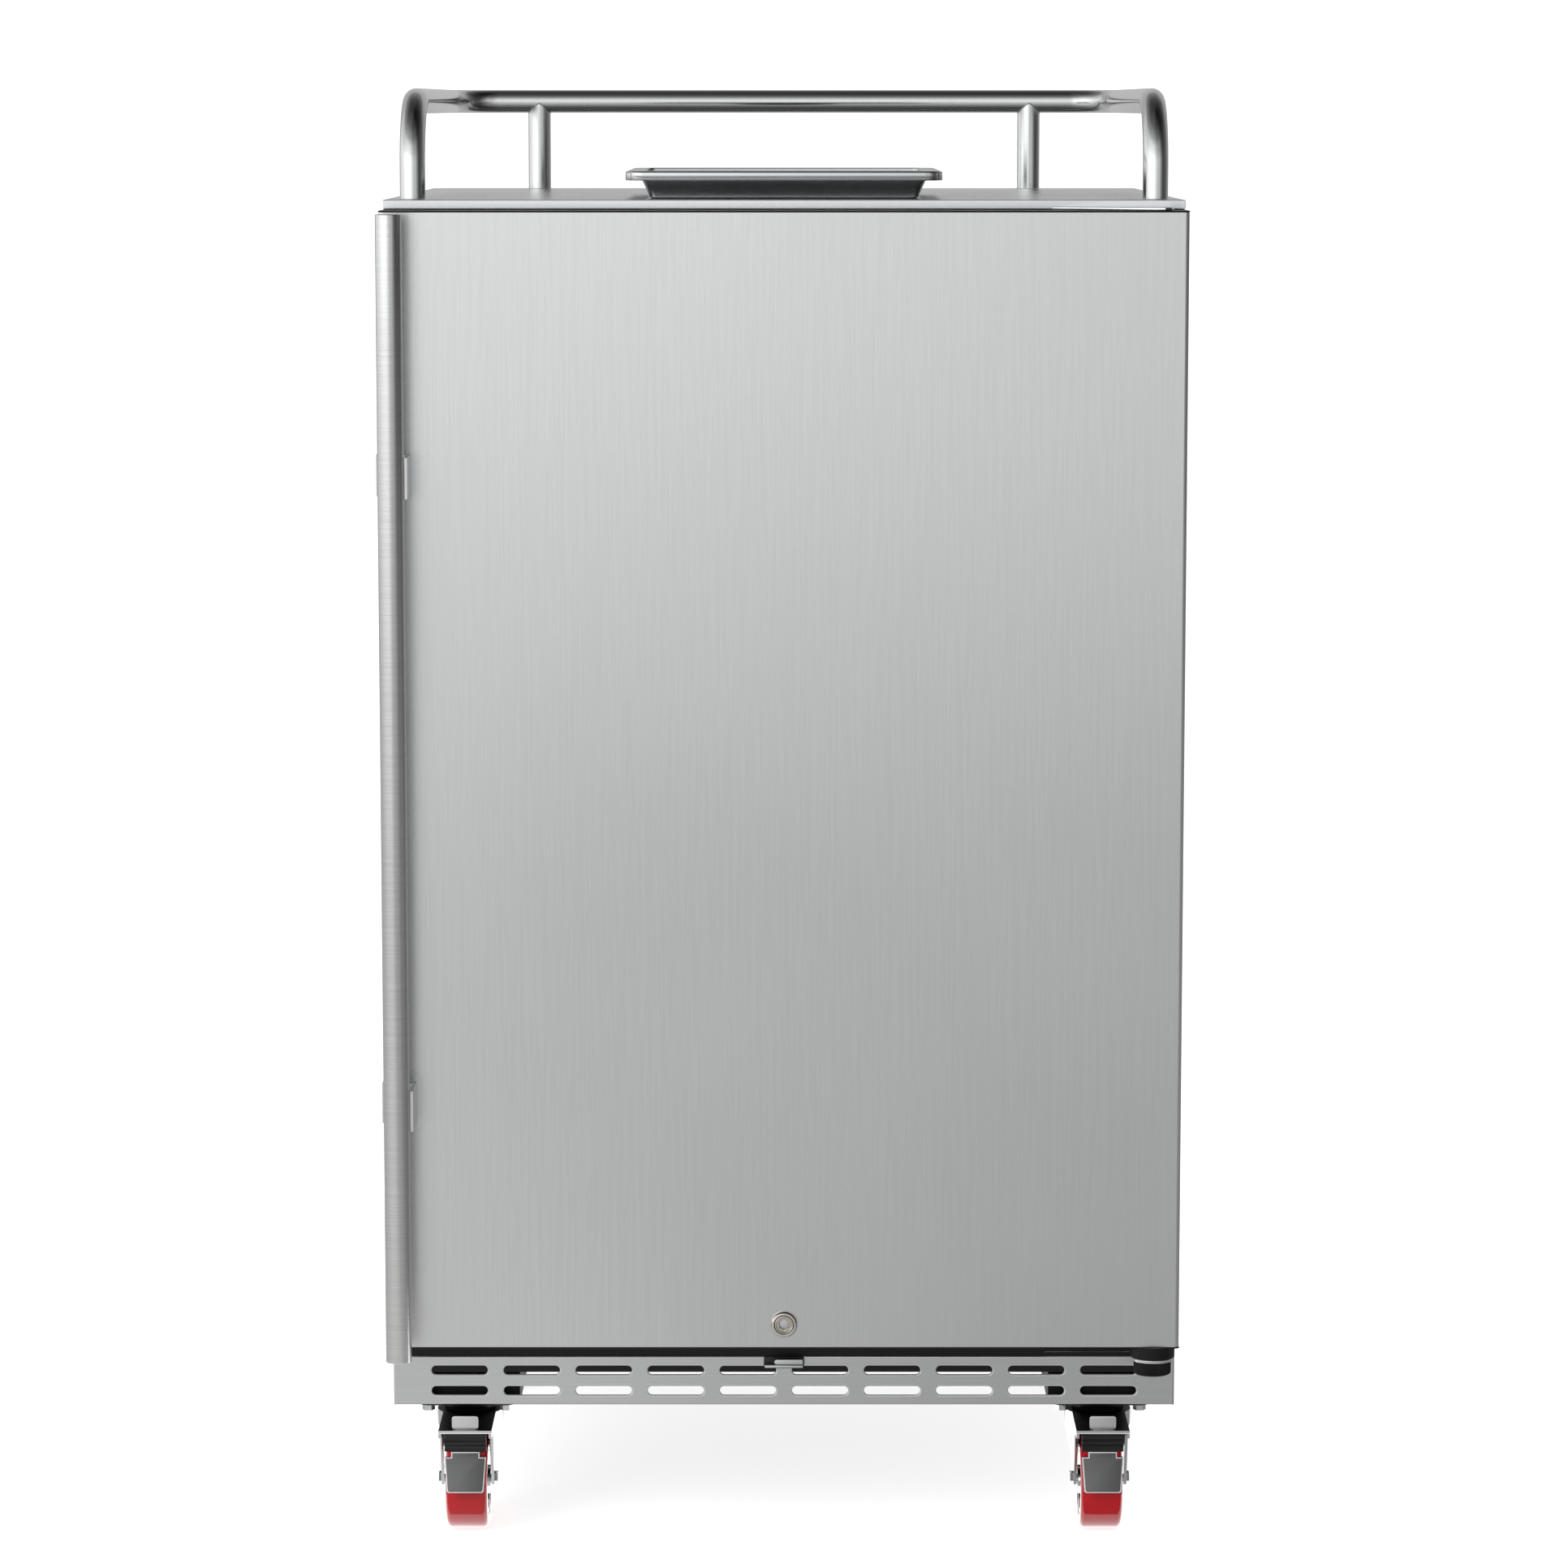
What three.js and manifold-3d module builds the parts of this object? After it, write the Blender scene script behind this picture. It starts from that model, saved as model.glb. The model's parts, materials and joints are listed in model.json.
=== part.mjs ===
import * as THREE from 'three';
import { mergeVertices } from 'three/addons/utils/BufferGeometryUtils.js';
import Module from 'manifold-3d';

// A beer keg refrigerator on casters: X to the right, Y to the back, Z up, in millimetres.

const seatGap = 0.3;
const overrun = 5;

// Outer case.
const cabinetWidth = 600;
const cabinetDepth = 575;
const caseSheet = 1;
const grilleRise = 2.2;
const grilleHeight = 38;
const basePanRise = 25.4;
const caseHeight = 889;
const topPanelEdge = 6.8;
const frameSheet = 1.2;
const towerHoleDiameter = 76;
const towerHoleSetback = 370;
const towerCapOverlap = 7;
const towerCapSheet = 2.2;
const towerCapStem = 26;

// Cold compartment and its foam walls.
const linerSheet = 2.5;
const sideFoam = 48;
const floorThickness = 91.6;
const roofThickness = 59.9;
const rearFoam = 45;
const humpFoam = 32;
const linerFlangeWidth = 8;
const linerFlangeSheet = 1.2;
const platformSheet = 3;
const platformMargin = 9;
const platformStopHeight = 26;
const platformCornerRadius = 20;

// Machine compartment at the bottom of the back.
const machineDepth = 120;
const machineHeight = 204;
const compressorWallRoom = 8;
const compressorFootMargin = 10;
const compressorHeight = 162;
const compressorPlaceShare = 13 / 30;
const compressorFootSheet = 4;
const compressorFootWidth = 150;
const compressorDome = 22;
const condenserWidth = 190;
const condenserHeight = 150;
const condenserDepth = 62;
const condenserPlaceShare = 11 / 30;
const condenserFinGroove = 5;
const condenserFinCount = 12;
const condenserGrooveDepth = 18;
const louvreLength = 118;
const louvreHeight = 5;
const louvrePitch = 17;
const louvreRows = 7;
const louvreColumnPitch = 138;
const louvreBottom = 30;
const inletWidth = 48;
const inletHeight = 30;
const inletDepth = 26;
const inletPlaceShare = 3 / 4;
const inletSocketWidth = 25;
const inletSocketHeight = 17;
const inletSocketDepth = 16;
const inletFlange = 4;
const inletFlangeSheet = 2;
const inletDrop = 40;

// Inside fittings.
const evaporatorWidth = 340;
const evaporatorHeight = 300;
const evaporatorDepth = 30;
const evaporatorTopGap = 60;
const fanDrop = 108;
const evaporatorCornerRadius = 12;
const fanDiameter = 104;
const fanWellDepth = 24;
const fanClearance = 4;
const fanHubDiameter = 34;
const fanHubDepth = 14;
const fanShaftDiameter = 12;
const fanBladeThickness = 2.5;
const fanBladeWidth = 12;
const fanBladeCount = 5;
const fanBladeTilt = Math.PI / 5;
const fanBarWidth = 4;
const fanBarDepth = 3;
const ventSlotHeight = 6;
const ventSlotLength = 220;
const ventSlotCount = 4;
const ventSlotPitch = 16;
const ventSlotDepth = 14;
const thermostatWidth = 92;
const thermostatDepth = 60;
const thermostatHeight = 34;
const thermostatPlaceShare = 1 / 2;
const thermostatSetback = 70;
const knobDiameter = 28;
const knobDepth = 14;
const knobGripWidth = 5;
const knobGripHeight = 5;
const grommetDiameter = 26;
const grommetHole = 11;
const grommetSleeve = 18;
const grommetLip = 2.5;
const grommetPlaceShare = 41 / 60;
const grommetDrop = 40;

// Kick grille.
const grilleSheet = 1.2;
const grilleReturn = 20;
const grilleLip = 9;
const slotLength = 43;
const slotWidth = 6.6;
const slotPitch = 55.4;
const slotEndMargin = 20;
const upperSlotHeight = 27.1;
const lowerSlotHeight = 11;
const notchWidth = 29.8;
const notchDepth = 7;

// Caster brackets.
const bracketWidth = 95;
const bracketDepth = 130;
const bracketSheet = 2;

// Door.
const doorThickness = 38;
const gasketGap = 7;
const doorGapBelow = 16.5;
const doorGapAbove = 0.5;
const skinSheet = 1;
const doorCornerRadius = 3;
const endCapSheet = 0.9;
const endCapPlug = 8;
const endCapProud = 0.4;
const doorLinerSheet = 2;
const dykeMargin = 8;
const dykeRidge = 24;
const dykeHeight = 11;
const dykeCornerRadius = 12;
const gasketMargin = 2.5;
const gasketBand = 18;

// Handle.
const handleDiameter = 19.3;
const handleStandOff = 36;
const handleInset = 10.1;
const handleBelowDoor = 1.2;
const handleBelowTop = 1.8;
const strapHeight = 31;
const strapSheet = 2.8;
const strapReachBack = 23;
const strapChamfer = 5;
const upperStrapDrop = 195.4;
const lowerStrapRise = 190.1;

// Hinges.
const hingeInsetX = 19.3;
const hingeInsetY = 12.5;
const hingePinDiameter = 8;
const hingePinLength = 15;
const pinClearance = 0.3;
const upperPlateSheet = 2;
const upperPlateGap = 0.4;
const hingeLeafWidth = 62;
const hingeLeafOffset = 18.7;
const hingeLeafHeight = 27;
const hingeLeafSheet = 2.5;
const lowerPlateRadius = 16;
const bushingDiameter = 34;
const bushingHeight = 8.5;
const hingeCapDiameter = 28.7;
const hingeCapHeight = 10.3;

// Lock.
const lockHeight = 19.1;
const bezelDiameter = 20.5;
const bezelProud = 4;
const barrelDiameter = 18;
const plugDiameter = 14.4;
const plugClearance = 0.2;
const plugProud = 2.5;
const hexAcross = 7.3;
const hexDepth = 8;
const camWidth = 12;
const camSheet = 3;
const camClearance = 0.5;
const camSetback = 2.5;
const keeperSheet = 1.5;
const keeperReach = 10;
const keeperLipHeight = 3.7;
const keeperOpenSide = 7;
const keeperHook = 2.1;
const keeperHookSheet = 1.2;

// Guard rail.
const railDiameter = 19.3;
const postDiameter = 19;
const railHeight = 73.4;
const railInset = 20.4;
const railFrontSetback = 32;
const railRearInset = 40;
const railFrontBend = 50;
const railRearBend = 38;
const postInset = 93;

// Drip tray.
const trayWidth = 240;
const traySetback = 40;
const trayHeight = 20.5;
const trayBottomInset = 18.5;
const trayWallInset = 10;
const trayFlange = 12.8;
const traySheet = 1;
const trayRimHeight = 6.8;
const trayRimRound = 1;
const trayCornerRadius = 14;
const trayLedge = 3;
const trayLedgeDrop = 4;
const grateSheet = 1.4;
const grateSlotPitch = 25.8;
const grateSlotWidth = 8;
const grateSlotLength = 42;
const grateSlotRows = 4;
const grateSlotColumns = 8;

// Casters.
const casterInset = 55;
const casterSetback = 63;
const casterRearInset = 65;
const mountWidth = 75;
const mountDepth = 95;
const mountSheet = 2.5;
const mountCornerRadius = 8;
const mountBoltX = 30;
const mountBoltY = 40;
const boltAcross = 10;
const boltHeight = 4.8;
const swivelDiameter = 48;
const swivelRim = 5;
const swivelTaper = 4;
const kingpinDiameter = 12;
const kingpinHead = 18;
const kingpinHeadHeight = 3;
const crownRoom = 12;
const swivelHeight = 15.8;
const crownSheet = 2.4;
const forkWidth = 41;
const forkSheet = 2.3;
const skirtDiameter = 51.4;
const skirtHeight = 34;
const skirtStraight = 12;
const skirtNarrowing = 4.2;
const crownFrontRoom = 7.5;
const trail = 30;
const legTopReach = 26;
const legRearReach = 17;
const crownTab = 6;
const crownFrontTab = 22;
const legEndRadius = 11;
const wheelDiameter = 75;
const treadWidth = 32;
const treadDepth = 9.5;
const treadRound = 4;
const hubRim = 4;
const hubRecess = 6;
const hubBoss = 22;
const hubSideGap = 0.8;
const hubRimInset = 0.5;
const axleDiameter = 8;
const axleHead = 13;
const axleHeadHeight = 2.5;

// Brake pedals of the front casters.
const pedalSheet = 2.5;
const pedalHeadWidth = 20.4;
const pedalHeadHeight = 8.8;
const pedalHeadCorner = 1.8;
const pedalNeckWidth = 15.2;
const pedalSlotSpare = 0.9;
const pedalEdge = 2.6;
const pedalWidth = 32;
const pedalTipWidth = 28.6;
const pedalUpperDrop = 13.9;
const pedalLowerDrop = 30.7;
const pedalNotch = 4;
const pedalNotchWidth = 5;
const pedalGap = 1.1;
const pedalSlope = 7;

// Counts of straight sides in round forms.
const roundSides = 24;
const smallSides = 12;
const railSides = 16;
const wheelSides = 32;
const hubSides = 24;
const hexSides = 6;
const cornerSteps = 3;
const bendSteps = 6;

// Positions that follow from the sizes.
const halfWidth = cabinetWidth / 2;
const crownTop = wheelDiameter + crownRoom;
const crownFront = trail + wheelDiameter / 2 + crownFrontRoom;
const bracketBottom = crownTop + swivelHeight;
const grilleBottom = bracketBottom + grilleRise;
const basePanBottom = grilleBottom + basePanRise;
const topPanelBottom = basePanBottom + caseHeight;
const compartmentFloor = basePanBottom + floorThickness;
const compartmentCeiling = topPanelBottom - roofThickness;
const handleReach = handleStandOff + handleDiameter / 2;
const rearY = (cabinetDepth + gasketGap + doorThickness + handleReach) / 2;
const frontY = rearY - cabinetDepth;
const doorRearY = frontY - gasketGap;
const doorFaceY = doorRearY - doorThickness;
const handleY = doorFaceY - handleStandOff;
const grilleTop = grilleBottom + grilleHeight;
const doorBottom = grilleTop + doorGapBelow;
const doorTop = topPanelBottom - doorGapAbove;
const topZ = topPanelBottom + topPanelEdge;
const innerHalf = halfWidth - Math.max(caseSheet, grilleSheet) - seatGap;
const frameBackY = frontY + frameSheet + seatGap;
const shellBackY = rearY - Math.max(caseSheet, frameSheet) - seatGap;
const baseTop = basePanBottom + frameSheet;
const machineTop = baseTop + machineHeight;
const machineFrontY = rearY - machineDepth;
const towerY = frontY + towerHoleSetback;
const linerHalf = innerHalf - sideFoam;
const compartmentHalf = linerHalf - linerSheet;
const linerBackY = shellBackY - rearFoam;
const humpFrontY = machineFrontY - humpFoam;
const humpTop = machineTop + humpFoam;
const hingeX = halfWidth - hingeInsetX;
const hingeY = doorFaceY + hingeInsetY;
const lockZ = doorBottom + lockHeight;
const camFrontY = frontY - camSetback - camSheet;
const notchBottom = grilleTop - notchDepth;
const keeperTop = notchBottom + seatGap + keeperSheet;
const camReach = lockZ - keeperTop - camClearance;
const lowerPlateTop = doorBottom - bushingHeight - seatGap;
const upperPlateBottom = doorTop + upperPlateGap;
const skinBottom = doorBottom + endCapSheet + seatGap;
const skinTop = doorTop - endCapSheet - seatGap;
const coreBottom = doorBottom + endCapSheet + endCapPlug + seatGap;
const coreTop = doorTop - endCapSheet - endCapPlug - seatGap;
const coreBackY = doorRearY - doorLinerSheet - seatGap;
const thermostatZ = compartmentCeiling - seatGap - thermostatHeight / 2;
const evaporatorTop = compartmentCeiling - evaporatorTopGap;
const evaporatorBottom = evaporatorTop - evaporatorHeight;
const fanZ = evaporatorTop - fanDrop;
const compressorX = -compressorPlaceShare * halfWidth;
const condenserX = condenserPlaceShare * halfWidth;
const inletX = -inletPlaceShare * halfWidth;
const thermostatX = thermostatPlaceShare * halfWidth;
const grommetX = -grommetPlaceShare * halfWidth;
const grommetZ = evaporatorBottom - grommetDrop;
const handleX = handleInset - halfWidth;
const handleBottom = doorBottom - handleBelowDoor;
const handleTop = doorTop - handleBelowTop;
const upperStrapZ = doorTop - upperStrapDrop;
const lowerStrapZ = doorBottom + lowerStrapRise;
const railX = halfWidth - railInset;
const postX = halfWidth - postInset;
const casterX = halfWidth - casterInset;
const evaporatorFaceY = linerBackY - seatGap - evaporatorDepth;
const axleZ = (wheelDiameter / 2) * Math.cos(Math.PI / wheelSides);

const finishes = {
  stainless: { color: '#c3c4c6', roughness: 0.34, metalness: 1 },
  polished: { color: '#d6d7d9', roughness: 0.2, metalness: 1 },
  zinc: { color: '#c6c8ca', roughness: 0.38, metalness: 1 },
  nickel: { color: '#cfc7b8', roughness: 0.28, metalness: 1 },
  blackSteel: { color: '#121314', roughness: 0.45, metalness: 0.2 },
  blackPlastic: { color: '#0f1011', roughness: 0.5, metalness: 0 },
  greyPlastic: { color: '#8d9093', roughness: 0.45, metalness: 0 },
  whitePlastic: { color: '#e6e7e6', roughness: 0.4, metalness: 0 },
  foam: { color: '#e2d9a8', roughness: 0.95, metalness: 0 },
  rubber: { color: '#141414', roughness: 0.85, metalness: 0 },
  gasketGrey: { color: '#6b6e70', roughness: 0.7, metalness: 0 },
  redTread: { color: '#aa1923', roughness: 0.45, metalness: 0 },
  aluminium: { color: '#b9bbbd', roughness: 0.4, metalness: 1 },
};

const wasm = await Module();
wasm.setup();

const alongX = new THREE.Matrix4().makeBasis(
  new THREE.Vector3(0, 1, 0), new THREE.Vector3(0, 0, 1), new THREE.Vector3(1, 0, 0));
const alongY = new THREE.Matrix4().makeBasis(
  new THREE.Vector3(1, 0, 0), new THREE.Vector3(0, 0, 1), new THREE.Vector3(0, -1, 0));

// Closed solid from a three.js surface: welded, without flat triangles, faces out.
function toSolid(geometry) {
  const bare = geometry.clone();
  bare.deleteAttribute('normal');
  bare.deleteAttribute('uv');
  const welded = mergeVertices(bare);
  const points = welded.attributes.position.array;
  const corners = [];
  let volume = 0;
  for (let i = 0; i < welded.index.count; i += 3) {
    const [a, b, c] = [0, 1, 2].map((k) => welded.index.getX(i + k));
    if (a === b || b === c || c === a) continue;
    corners.push(a, b, c);
    const [p, q, r] = [a, b, c].map((k) => new THREE.Vector3().fromArray(points, 3 * k));
    volume += p.dot(q.cross(r));
  }
  if (volume < 0) corners.reverse();
  return new wasm.Manifold(new wasm.Mesh({
    numProp: 3,
    vertProperties: Float32Array.from(points),
    triVerts: Uint32Array.from(corners),
  }));
}

function toGeometry(solid) {
  const mesh = solid.getMesh();
  const geometry = new THREE.BufferGeometry();
  geometry.setAttribute('position', new THREE.BufferAttribute(mesh.vertProperties, 3));
  geometry.setIndex(new THREE.BufferAttribute(mesh.triVerts, 1));
  geometry.computeVertexNormals();
  return geometry;
}

function join(solids) {
  return wasm.Manifold.union(solids);
}

function cut(solid, tools) {
  return solid.subtract(wasm.Manifold.union(tools));
}

function circle(a, b, radius, sides, turnShare = 0) {
  return Array.from({ length: sides }, (_, i) => {
    const angle = ((i + turnShare) / sides) * 2 * Math.PI;
    return [a + radius * Math.cos(angle), b + radius * Math.sin(angle)];
  });
}

function arc(a, b, radius, from, to, steps = cornerSteps) {
  return Array.from({ length: steps + 1 }, (_, i) => {
    const angle = from + ((to - from) * i) / steps;
    return [a + radius * Math.cos(angle), b + radius * Math.sin(angle)];
  });
}

function roundedOutline(a0, a1, b0, b1, radius) {
  const quarter = Math.PI / 2;
  return [
    ...arc(a1 - radius, b0 + radius, radius, -quarter, 0),
    ...arc(a1 - radius, b1 - radius, radius, 0, quarter),
    ...arc(a0 + radius, b1 - radius, radius, quarter, Math.PI),
    ...arc(a0 + radius, b0 + radius, radius, Math.PI, 3 * quarter),
  ];
}

// Slot with round ends, long along the first direction.
function slotOutline(a, b, length, width) {
  const quarter = Math.PI / 2;
  const half = (length - width) / 2;
  return [
    ...arc(a + half, b, width / 2, -quarter, quarter),
    ...arc(a - half, b, width / 2, quarter, 3 * quarter),
  ];
}

// Outline pushed straight along one axis; x takes (y, z) outlines, y takes (x, z), z takes (x, y).
function prism(axis, outline, from, to, holes = []) {
  const toPoints = (pairs) => pairs.map(([a, b]) => new THREE.Vector2(a, b));
  const shape = new THREE.Shape(toPoints(outline));
  for (const hole of holes) {
    shape.holes.push(new THREE.Path(toPoints(hole)));
  }
  const geometry = new THREE.ExtrudeGeometry(shape, { depth: to - from, bevelEnabled: false });
  if (axis === 'x') geometry.applyMatrix4(alongX).translate(from, 0, 0);
  if (axis === 'y') geometry.applyMatrix4(alongY).translate(0, to, 0);
  if (axis === 'z') geometry.translate(0, 0, from);
  return toSolid(geometry);
}

function block(x0, x1, y0, y1, z0, z1) {
  return prism('z', [[x0, y0], [x1, y0], [x1, y1], [x0, y1]], z0, z1);
}

function rod(axis, a, b, diameter, from, to, sides = roundSides, turnShare = 0) {
  return prism(axis, circle(a, b, diameter / 2, sides, turnShare), from, to);
}

// Profile of (radius, height) pairs turned round an axis through the given point.
function turned(axis, profile, centre, sides = roundSides) {
  const points = profile.map(([radius, height]) => new THREE.Vector2(radius, height));
  const geometry = new THREE.LatheGeometry(points, sides, Math.PI / sides);
  if (axis === 'x') geometry.rotateZ(-Math.PI / 2);
  if (axis === 'z') geometry.rotateX(Math.PI / 2);
  geometry.translate(centre[0], centre[1], centre[2]);
  return toSolid(geometry);
}

// Loft through rounded rectangles, each given as [half width, height], round one centre.
function ringStack(rings, centreX, centreY, radius, half) {
  const loops = rings.map(([size, z]) => {
    const corner = Math.max(radius - (half - size), radius / 3);
    return roundedOutline(centreX - size, centreX + size, centreY - size, centreY + size, corner)
      .map(([x, y]) => [x, y, z]);
  });
  const count = loops[0].length;
  const points = loops.flat(2);
  const corners = [];
  for (let ring = 0; ring + 1 < loops.length; ring += 1) {
    for (let i = 0; i < count; i += 1) {
      const next = (i + 1) % count;
      const [a, b] = [ring * count + i, ring * count + next];
      corners.push(a, b, b + count, a, b + count, a + count);
    }
  }
  const first = points.length / 3;
  const last = first + 1;
  points.push(centreX, centreY, rings[0][1], centreX, centreY, rings.at(-1)[1]);
  for (let i = 0; i < count; i += 1) {
    const next = (i + 1) % count;
    const top = (loops.length - 1) * count;
    corners.push(first, next, i, last, top + i, top + next);
  }
  const geometry = new THREE.BufferGeometry();
  geometry.setAttribute('position', new THREE.Float32BufferAttribute(points, 3));
  geometry.setIndex(corners);
  return toSolid(geometry);
}

// Path through set stations, so that a swept tube gets rings only where it bends.
class StationPath extends THREE.Curve {
  constructor(stations) {
    super();
    this.stations = stations;
  }

  getPoint(share) {
    const place = share * (this.stations.length - 1);
    const index = Math.min(Math.floor(place + 1e-9), this.stations.length - 2);
    return this.stations[index].clone().lerp(this.stations[index + 1], place - index);
  }

  getPointAt(share) {
    return this.getPoint(share);
  }

  getSpacedPoints() {
    return this.stations.map((station) => station.clone());
  }

  getTangentAt(share) {
    const index = Math.round(share * (this.stations.length - 1));
    const before = this.stations[Math.max(index - 1, 0)];
    const here = this.stations[index];
    const after = this.stations[Math.min(index + 1, this.stations.length - 1)];
    const arriving = here.clone().sub(before).normalize();
    const leaving = after.clone().sub(here).normalize();
    return arriving.add(leaving).normalize();
  }
}

function tubeAlong(stations, diameter) {
  const shape = new THREE.Shape(
    circle(0, 0, diameter / 2, railSides).map(([a, b]) => new THREE.Vector2(a, b)));
  return toSolid(new THREE.ExtrudeGeometry(shape, {
    steps: stations.length - 1,
    extrudePath: new StationPath(stations),
  }));
}

const product = new THREE.Group();
product.name = 'kegerator';

function addPiece(name, solid, finish) {
  const mesh = new THREE.Mesh(toGeometry(solid), new THREE.MeshStandardMaterial(finishes[finish]));
  mesh.name = name;
  product.add(mesh);
}

// Outer case: folded steel sheets round the foam body.
function addSidePanels() {
  const stepY = frontY + grilleReturn + seatGap;
  const stepZ = grilleTop + seatGap;
  const roofZ = topPanelBottom - seatGap;
  const outline = [
    [frontY, stepZ], [stepY, stepZ], [stepY, basePanBottom],
    [rearY, basePanBottom], [rearY, roofZ], [frontY, roofZ],
  ];
  addPiece('side_panel_left', prism('x', outline, -halfWidth, caseSheet - halfWidth), 'stainless');
  addPiece('side_panel_right', prism('x', outline, halfWidth - caseSheet, halfWidth), 'stainless');
}

function rectangle(half, low, high) {
  return [[-half, low], [half, low], [half, high], [-half, high]];
}

function addBackPanel() {
  const outline = rectangle(innerHalf, machineTop + seatGap, topPanelBottom - seatGap);
  const hole = circle(grommetX, grommetZ, grommetSleeve / 2 + seatGap, roundSides);
  addPiece('back_panel', prism('y', outline, rearY - caseSheet, rearY, [hole]), 'zinc');
}

function addFrontFrame() {
  const reach = linerSheet + seatGap;
  const outline = rectangle(innerHalf, basePanBottom, topPanelBottom - seatGap);
  const opening = rectangle(
    linerHalf + seatGap, compartmentFloor - reach, compartmentCeiling + reach);
  addPiece('front_frame', prism('y', outline, frontY, frontY + frameSheet, [opening]), 'blackSteel');
}

function addTopPanel() {
  const rim = frameSheet;
  const under = block(
    rim - halfWidth, halfWidth - rim, frontY + rim, rearY - rim, topPanelBottom - overrun, topZ - rim);
  const hole = rod('z', 0, towerY, towerHoleDiameter, topPanelBottom, topZ + overrun);
  const sheet = block(-halfWidth, halfWidth, frontY, rearY, topPanelBottom, topZ);
  addPiece('top_panel', cut(sheet, [under, hole]), 'stainless');
}

function addBasePan() {
  const slots = [];
  for (let i = 0; i < louvreRows - 1; i += 1) {
    const x = condenserX + (i - (louvreRows - 2) / 2) * 2 * louvrePitch;
    const y = machineFrontY + machineDepth / 2;
    slots.push(slotOutline(y, x, machineDepth / 2, louvreHeight).map(([a, b]) => [b, a]));
  }
  const outline = [
    [-innerHalf, frameBackY], [innerHalf, frameBackY], [innerHalf, shellBackY], [-innerHalf, shellBackY]];
  addPiece('base_pan', prism('z', outline, basePanBottom, baseTop, slots), 'zinc');
}

// Side outline of the cold compartment with its hump, grown outward by a wall thickness.
function compartmentOutline(grow) {
  const floor = compartmentFloor - grow;
  const ceiling = compartmentCeiling + grow;
  return [
    [frontY - overrun, floor], [humpFrontY + grow, floor],
    [humpFrontY + grow, humpTop - grow], [linerBackY + grow, humpTop - grow],
    [linerBackY + grow, ceiling], [frontY - overrun, ceiling],
  ];
}

function grommetHoleSolid(spare) {
  return rod('y', grommetX, grommetZ, grommetSleeve + 2 * spare, linerBackY - overrun, rearY + overrun);
}

function addInsulation() {
  const roof = topZ - frameSheet - seatGap;
  const outline = [
    [frameBackY, baseTop + seatGap], [machineFrontY, baseTop + seatGap],
    [machineFrontY, machineTop], [shellBackY, machineTop], [shellBackY, roof], [frameBackY, roof],
  ];
  const wall = linerSheet + seatGap;
  const cavity = prism(
    'x', compartmentOutline(wall), -linerHalf - seatGap, linerHalf + seatGap);
  const towerHole = rod(
    'z', 0, towerY, towerHoleDiameter + 2 * seatGap, compartmentCeiling, topZ + overrun);
  const foam = prism('x', outline, -innerHalf, innerHalf);
  addPiece('insulation', cut(foam, [cavity, towerHole, grommetHoleSolid(seatGap)]), 'foam');
}

function addInnerLiner() {
  const flangeHalf = linerHalf + linerFlangeWidth;
  const flangeReach = linerSheet + linerFlangeWidth;
  const flangeY = frontY - seatGap - linerFlangeSheet;
  const shell = prism('x', compartmentOutline(linerSheet), -linerHalf, linerHalf);
  const flange = prism(
    'y', rectangle(flangeHalf, compartmentFloor - flangeReach, compartmentCeiling + flangeReach),
    flangeY, flangeY + linerFlangeSheet);
  const front = block(-halfWidth, halfWidth, frontY - 2 * overrun, flangeY, 0, topZ);
  const hollow = prism('x', compartmentOutline(0), -compartmentHalf, compartmentHalf);
  const towerHole = rod('z', 0, towerY, towerHoleDiameter, compartmentCeiling - overrun, topZ);
  addPiece(
    'inner_liner',
    cut(join([shell, flange]), [front, hollow, towerHole, grommetHoleSolid(seatGap)]), 'whitePlastic');
}

// Loose plate that carries the keg, turned up at the back to keep it off the hump.
function addKegPlatform() {
  const half = compartmentHalf - platformMargin;
  const frontEdge = frontY + platformMargin;
  const backEdge = humpFrontY - platformMargin;
  const low = compartmentFloor + seatGap;
  const plate = prism(
    'z', roundedOutline(-half, half, frontEdge, backEdge, platformCornerRadius), low, low + platformSheet);
  const stopHalf = half - platformCornerRadius;
  const stop = block(
    -stopHalf, stopHalf, backEdge - platformSheet, backEdge, low, low + platformStopHeight);
  addPiece('keg_platform', join([plate, stop]), 'zinc');
}

function addEvaporatorCover() {
  const half = evaporatorWidth / 2;
  const wellDiameter = fanDiameter + 2 * fanClearance;
  const body = prism(
    'y', roundedOutline(-half, half, evaporatorBottom, evaporatorTop, evaporatorCornerRadius),
    evaporatorFaceY, evaporatorFaceY + evaporatorDepth);
  const well = rod('y', 0, fanZ, wellDiameter, evaporatorFaceY - overrun, evaporatorFaceY + fanWellDepth);
  const vents = [];
  for (let i = 0; i < ventSlotCount; i += 1) {
    const z = evaporatorBottom + (i + 1) * ventSlotPitch;
    const slot = slotOutline(0, z, ventSlotLength, ventSlotHeight);
    vents.push(prism('y', slot, evaporatorFaceY - overrun, evaporatorFaceY + ventSlotDepth));
  }
  const barHalf = wellDiameter / 2 + fanBarWidth;
  const barBack = evaporatorFaceY + fanBarDepth;
  const bars = [-1, 0, 1].flatMap((place) => {
    const offset = place * (wellDiameter / 4);
    const [low, high] = [offset - fanBarWidth / 2, offset + fanBarWidth / 2];
    return [
      block(low, high, evaporatorFaceY, barBack, fanZ - barHalf, fanZ + barHalf),
      block(-barHalf, barHalf, evaporatorFaceY, barBack, fanZ + low, fanZ + high),
    ];
  });
  addPiece('evaporator_cover', join([cut(body, [well, ...vents]), ...bars]), 'whitePlastic');
}

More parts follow.
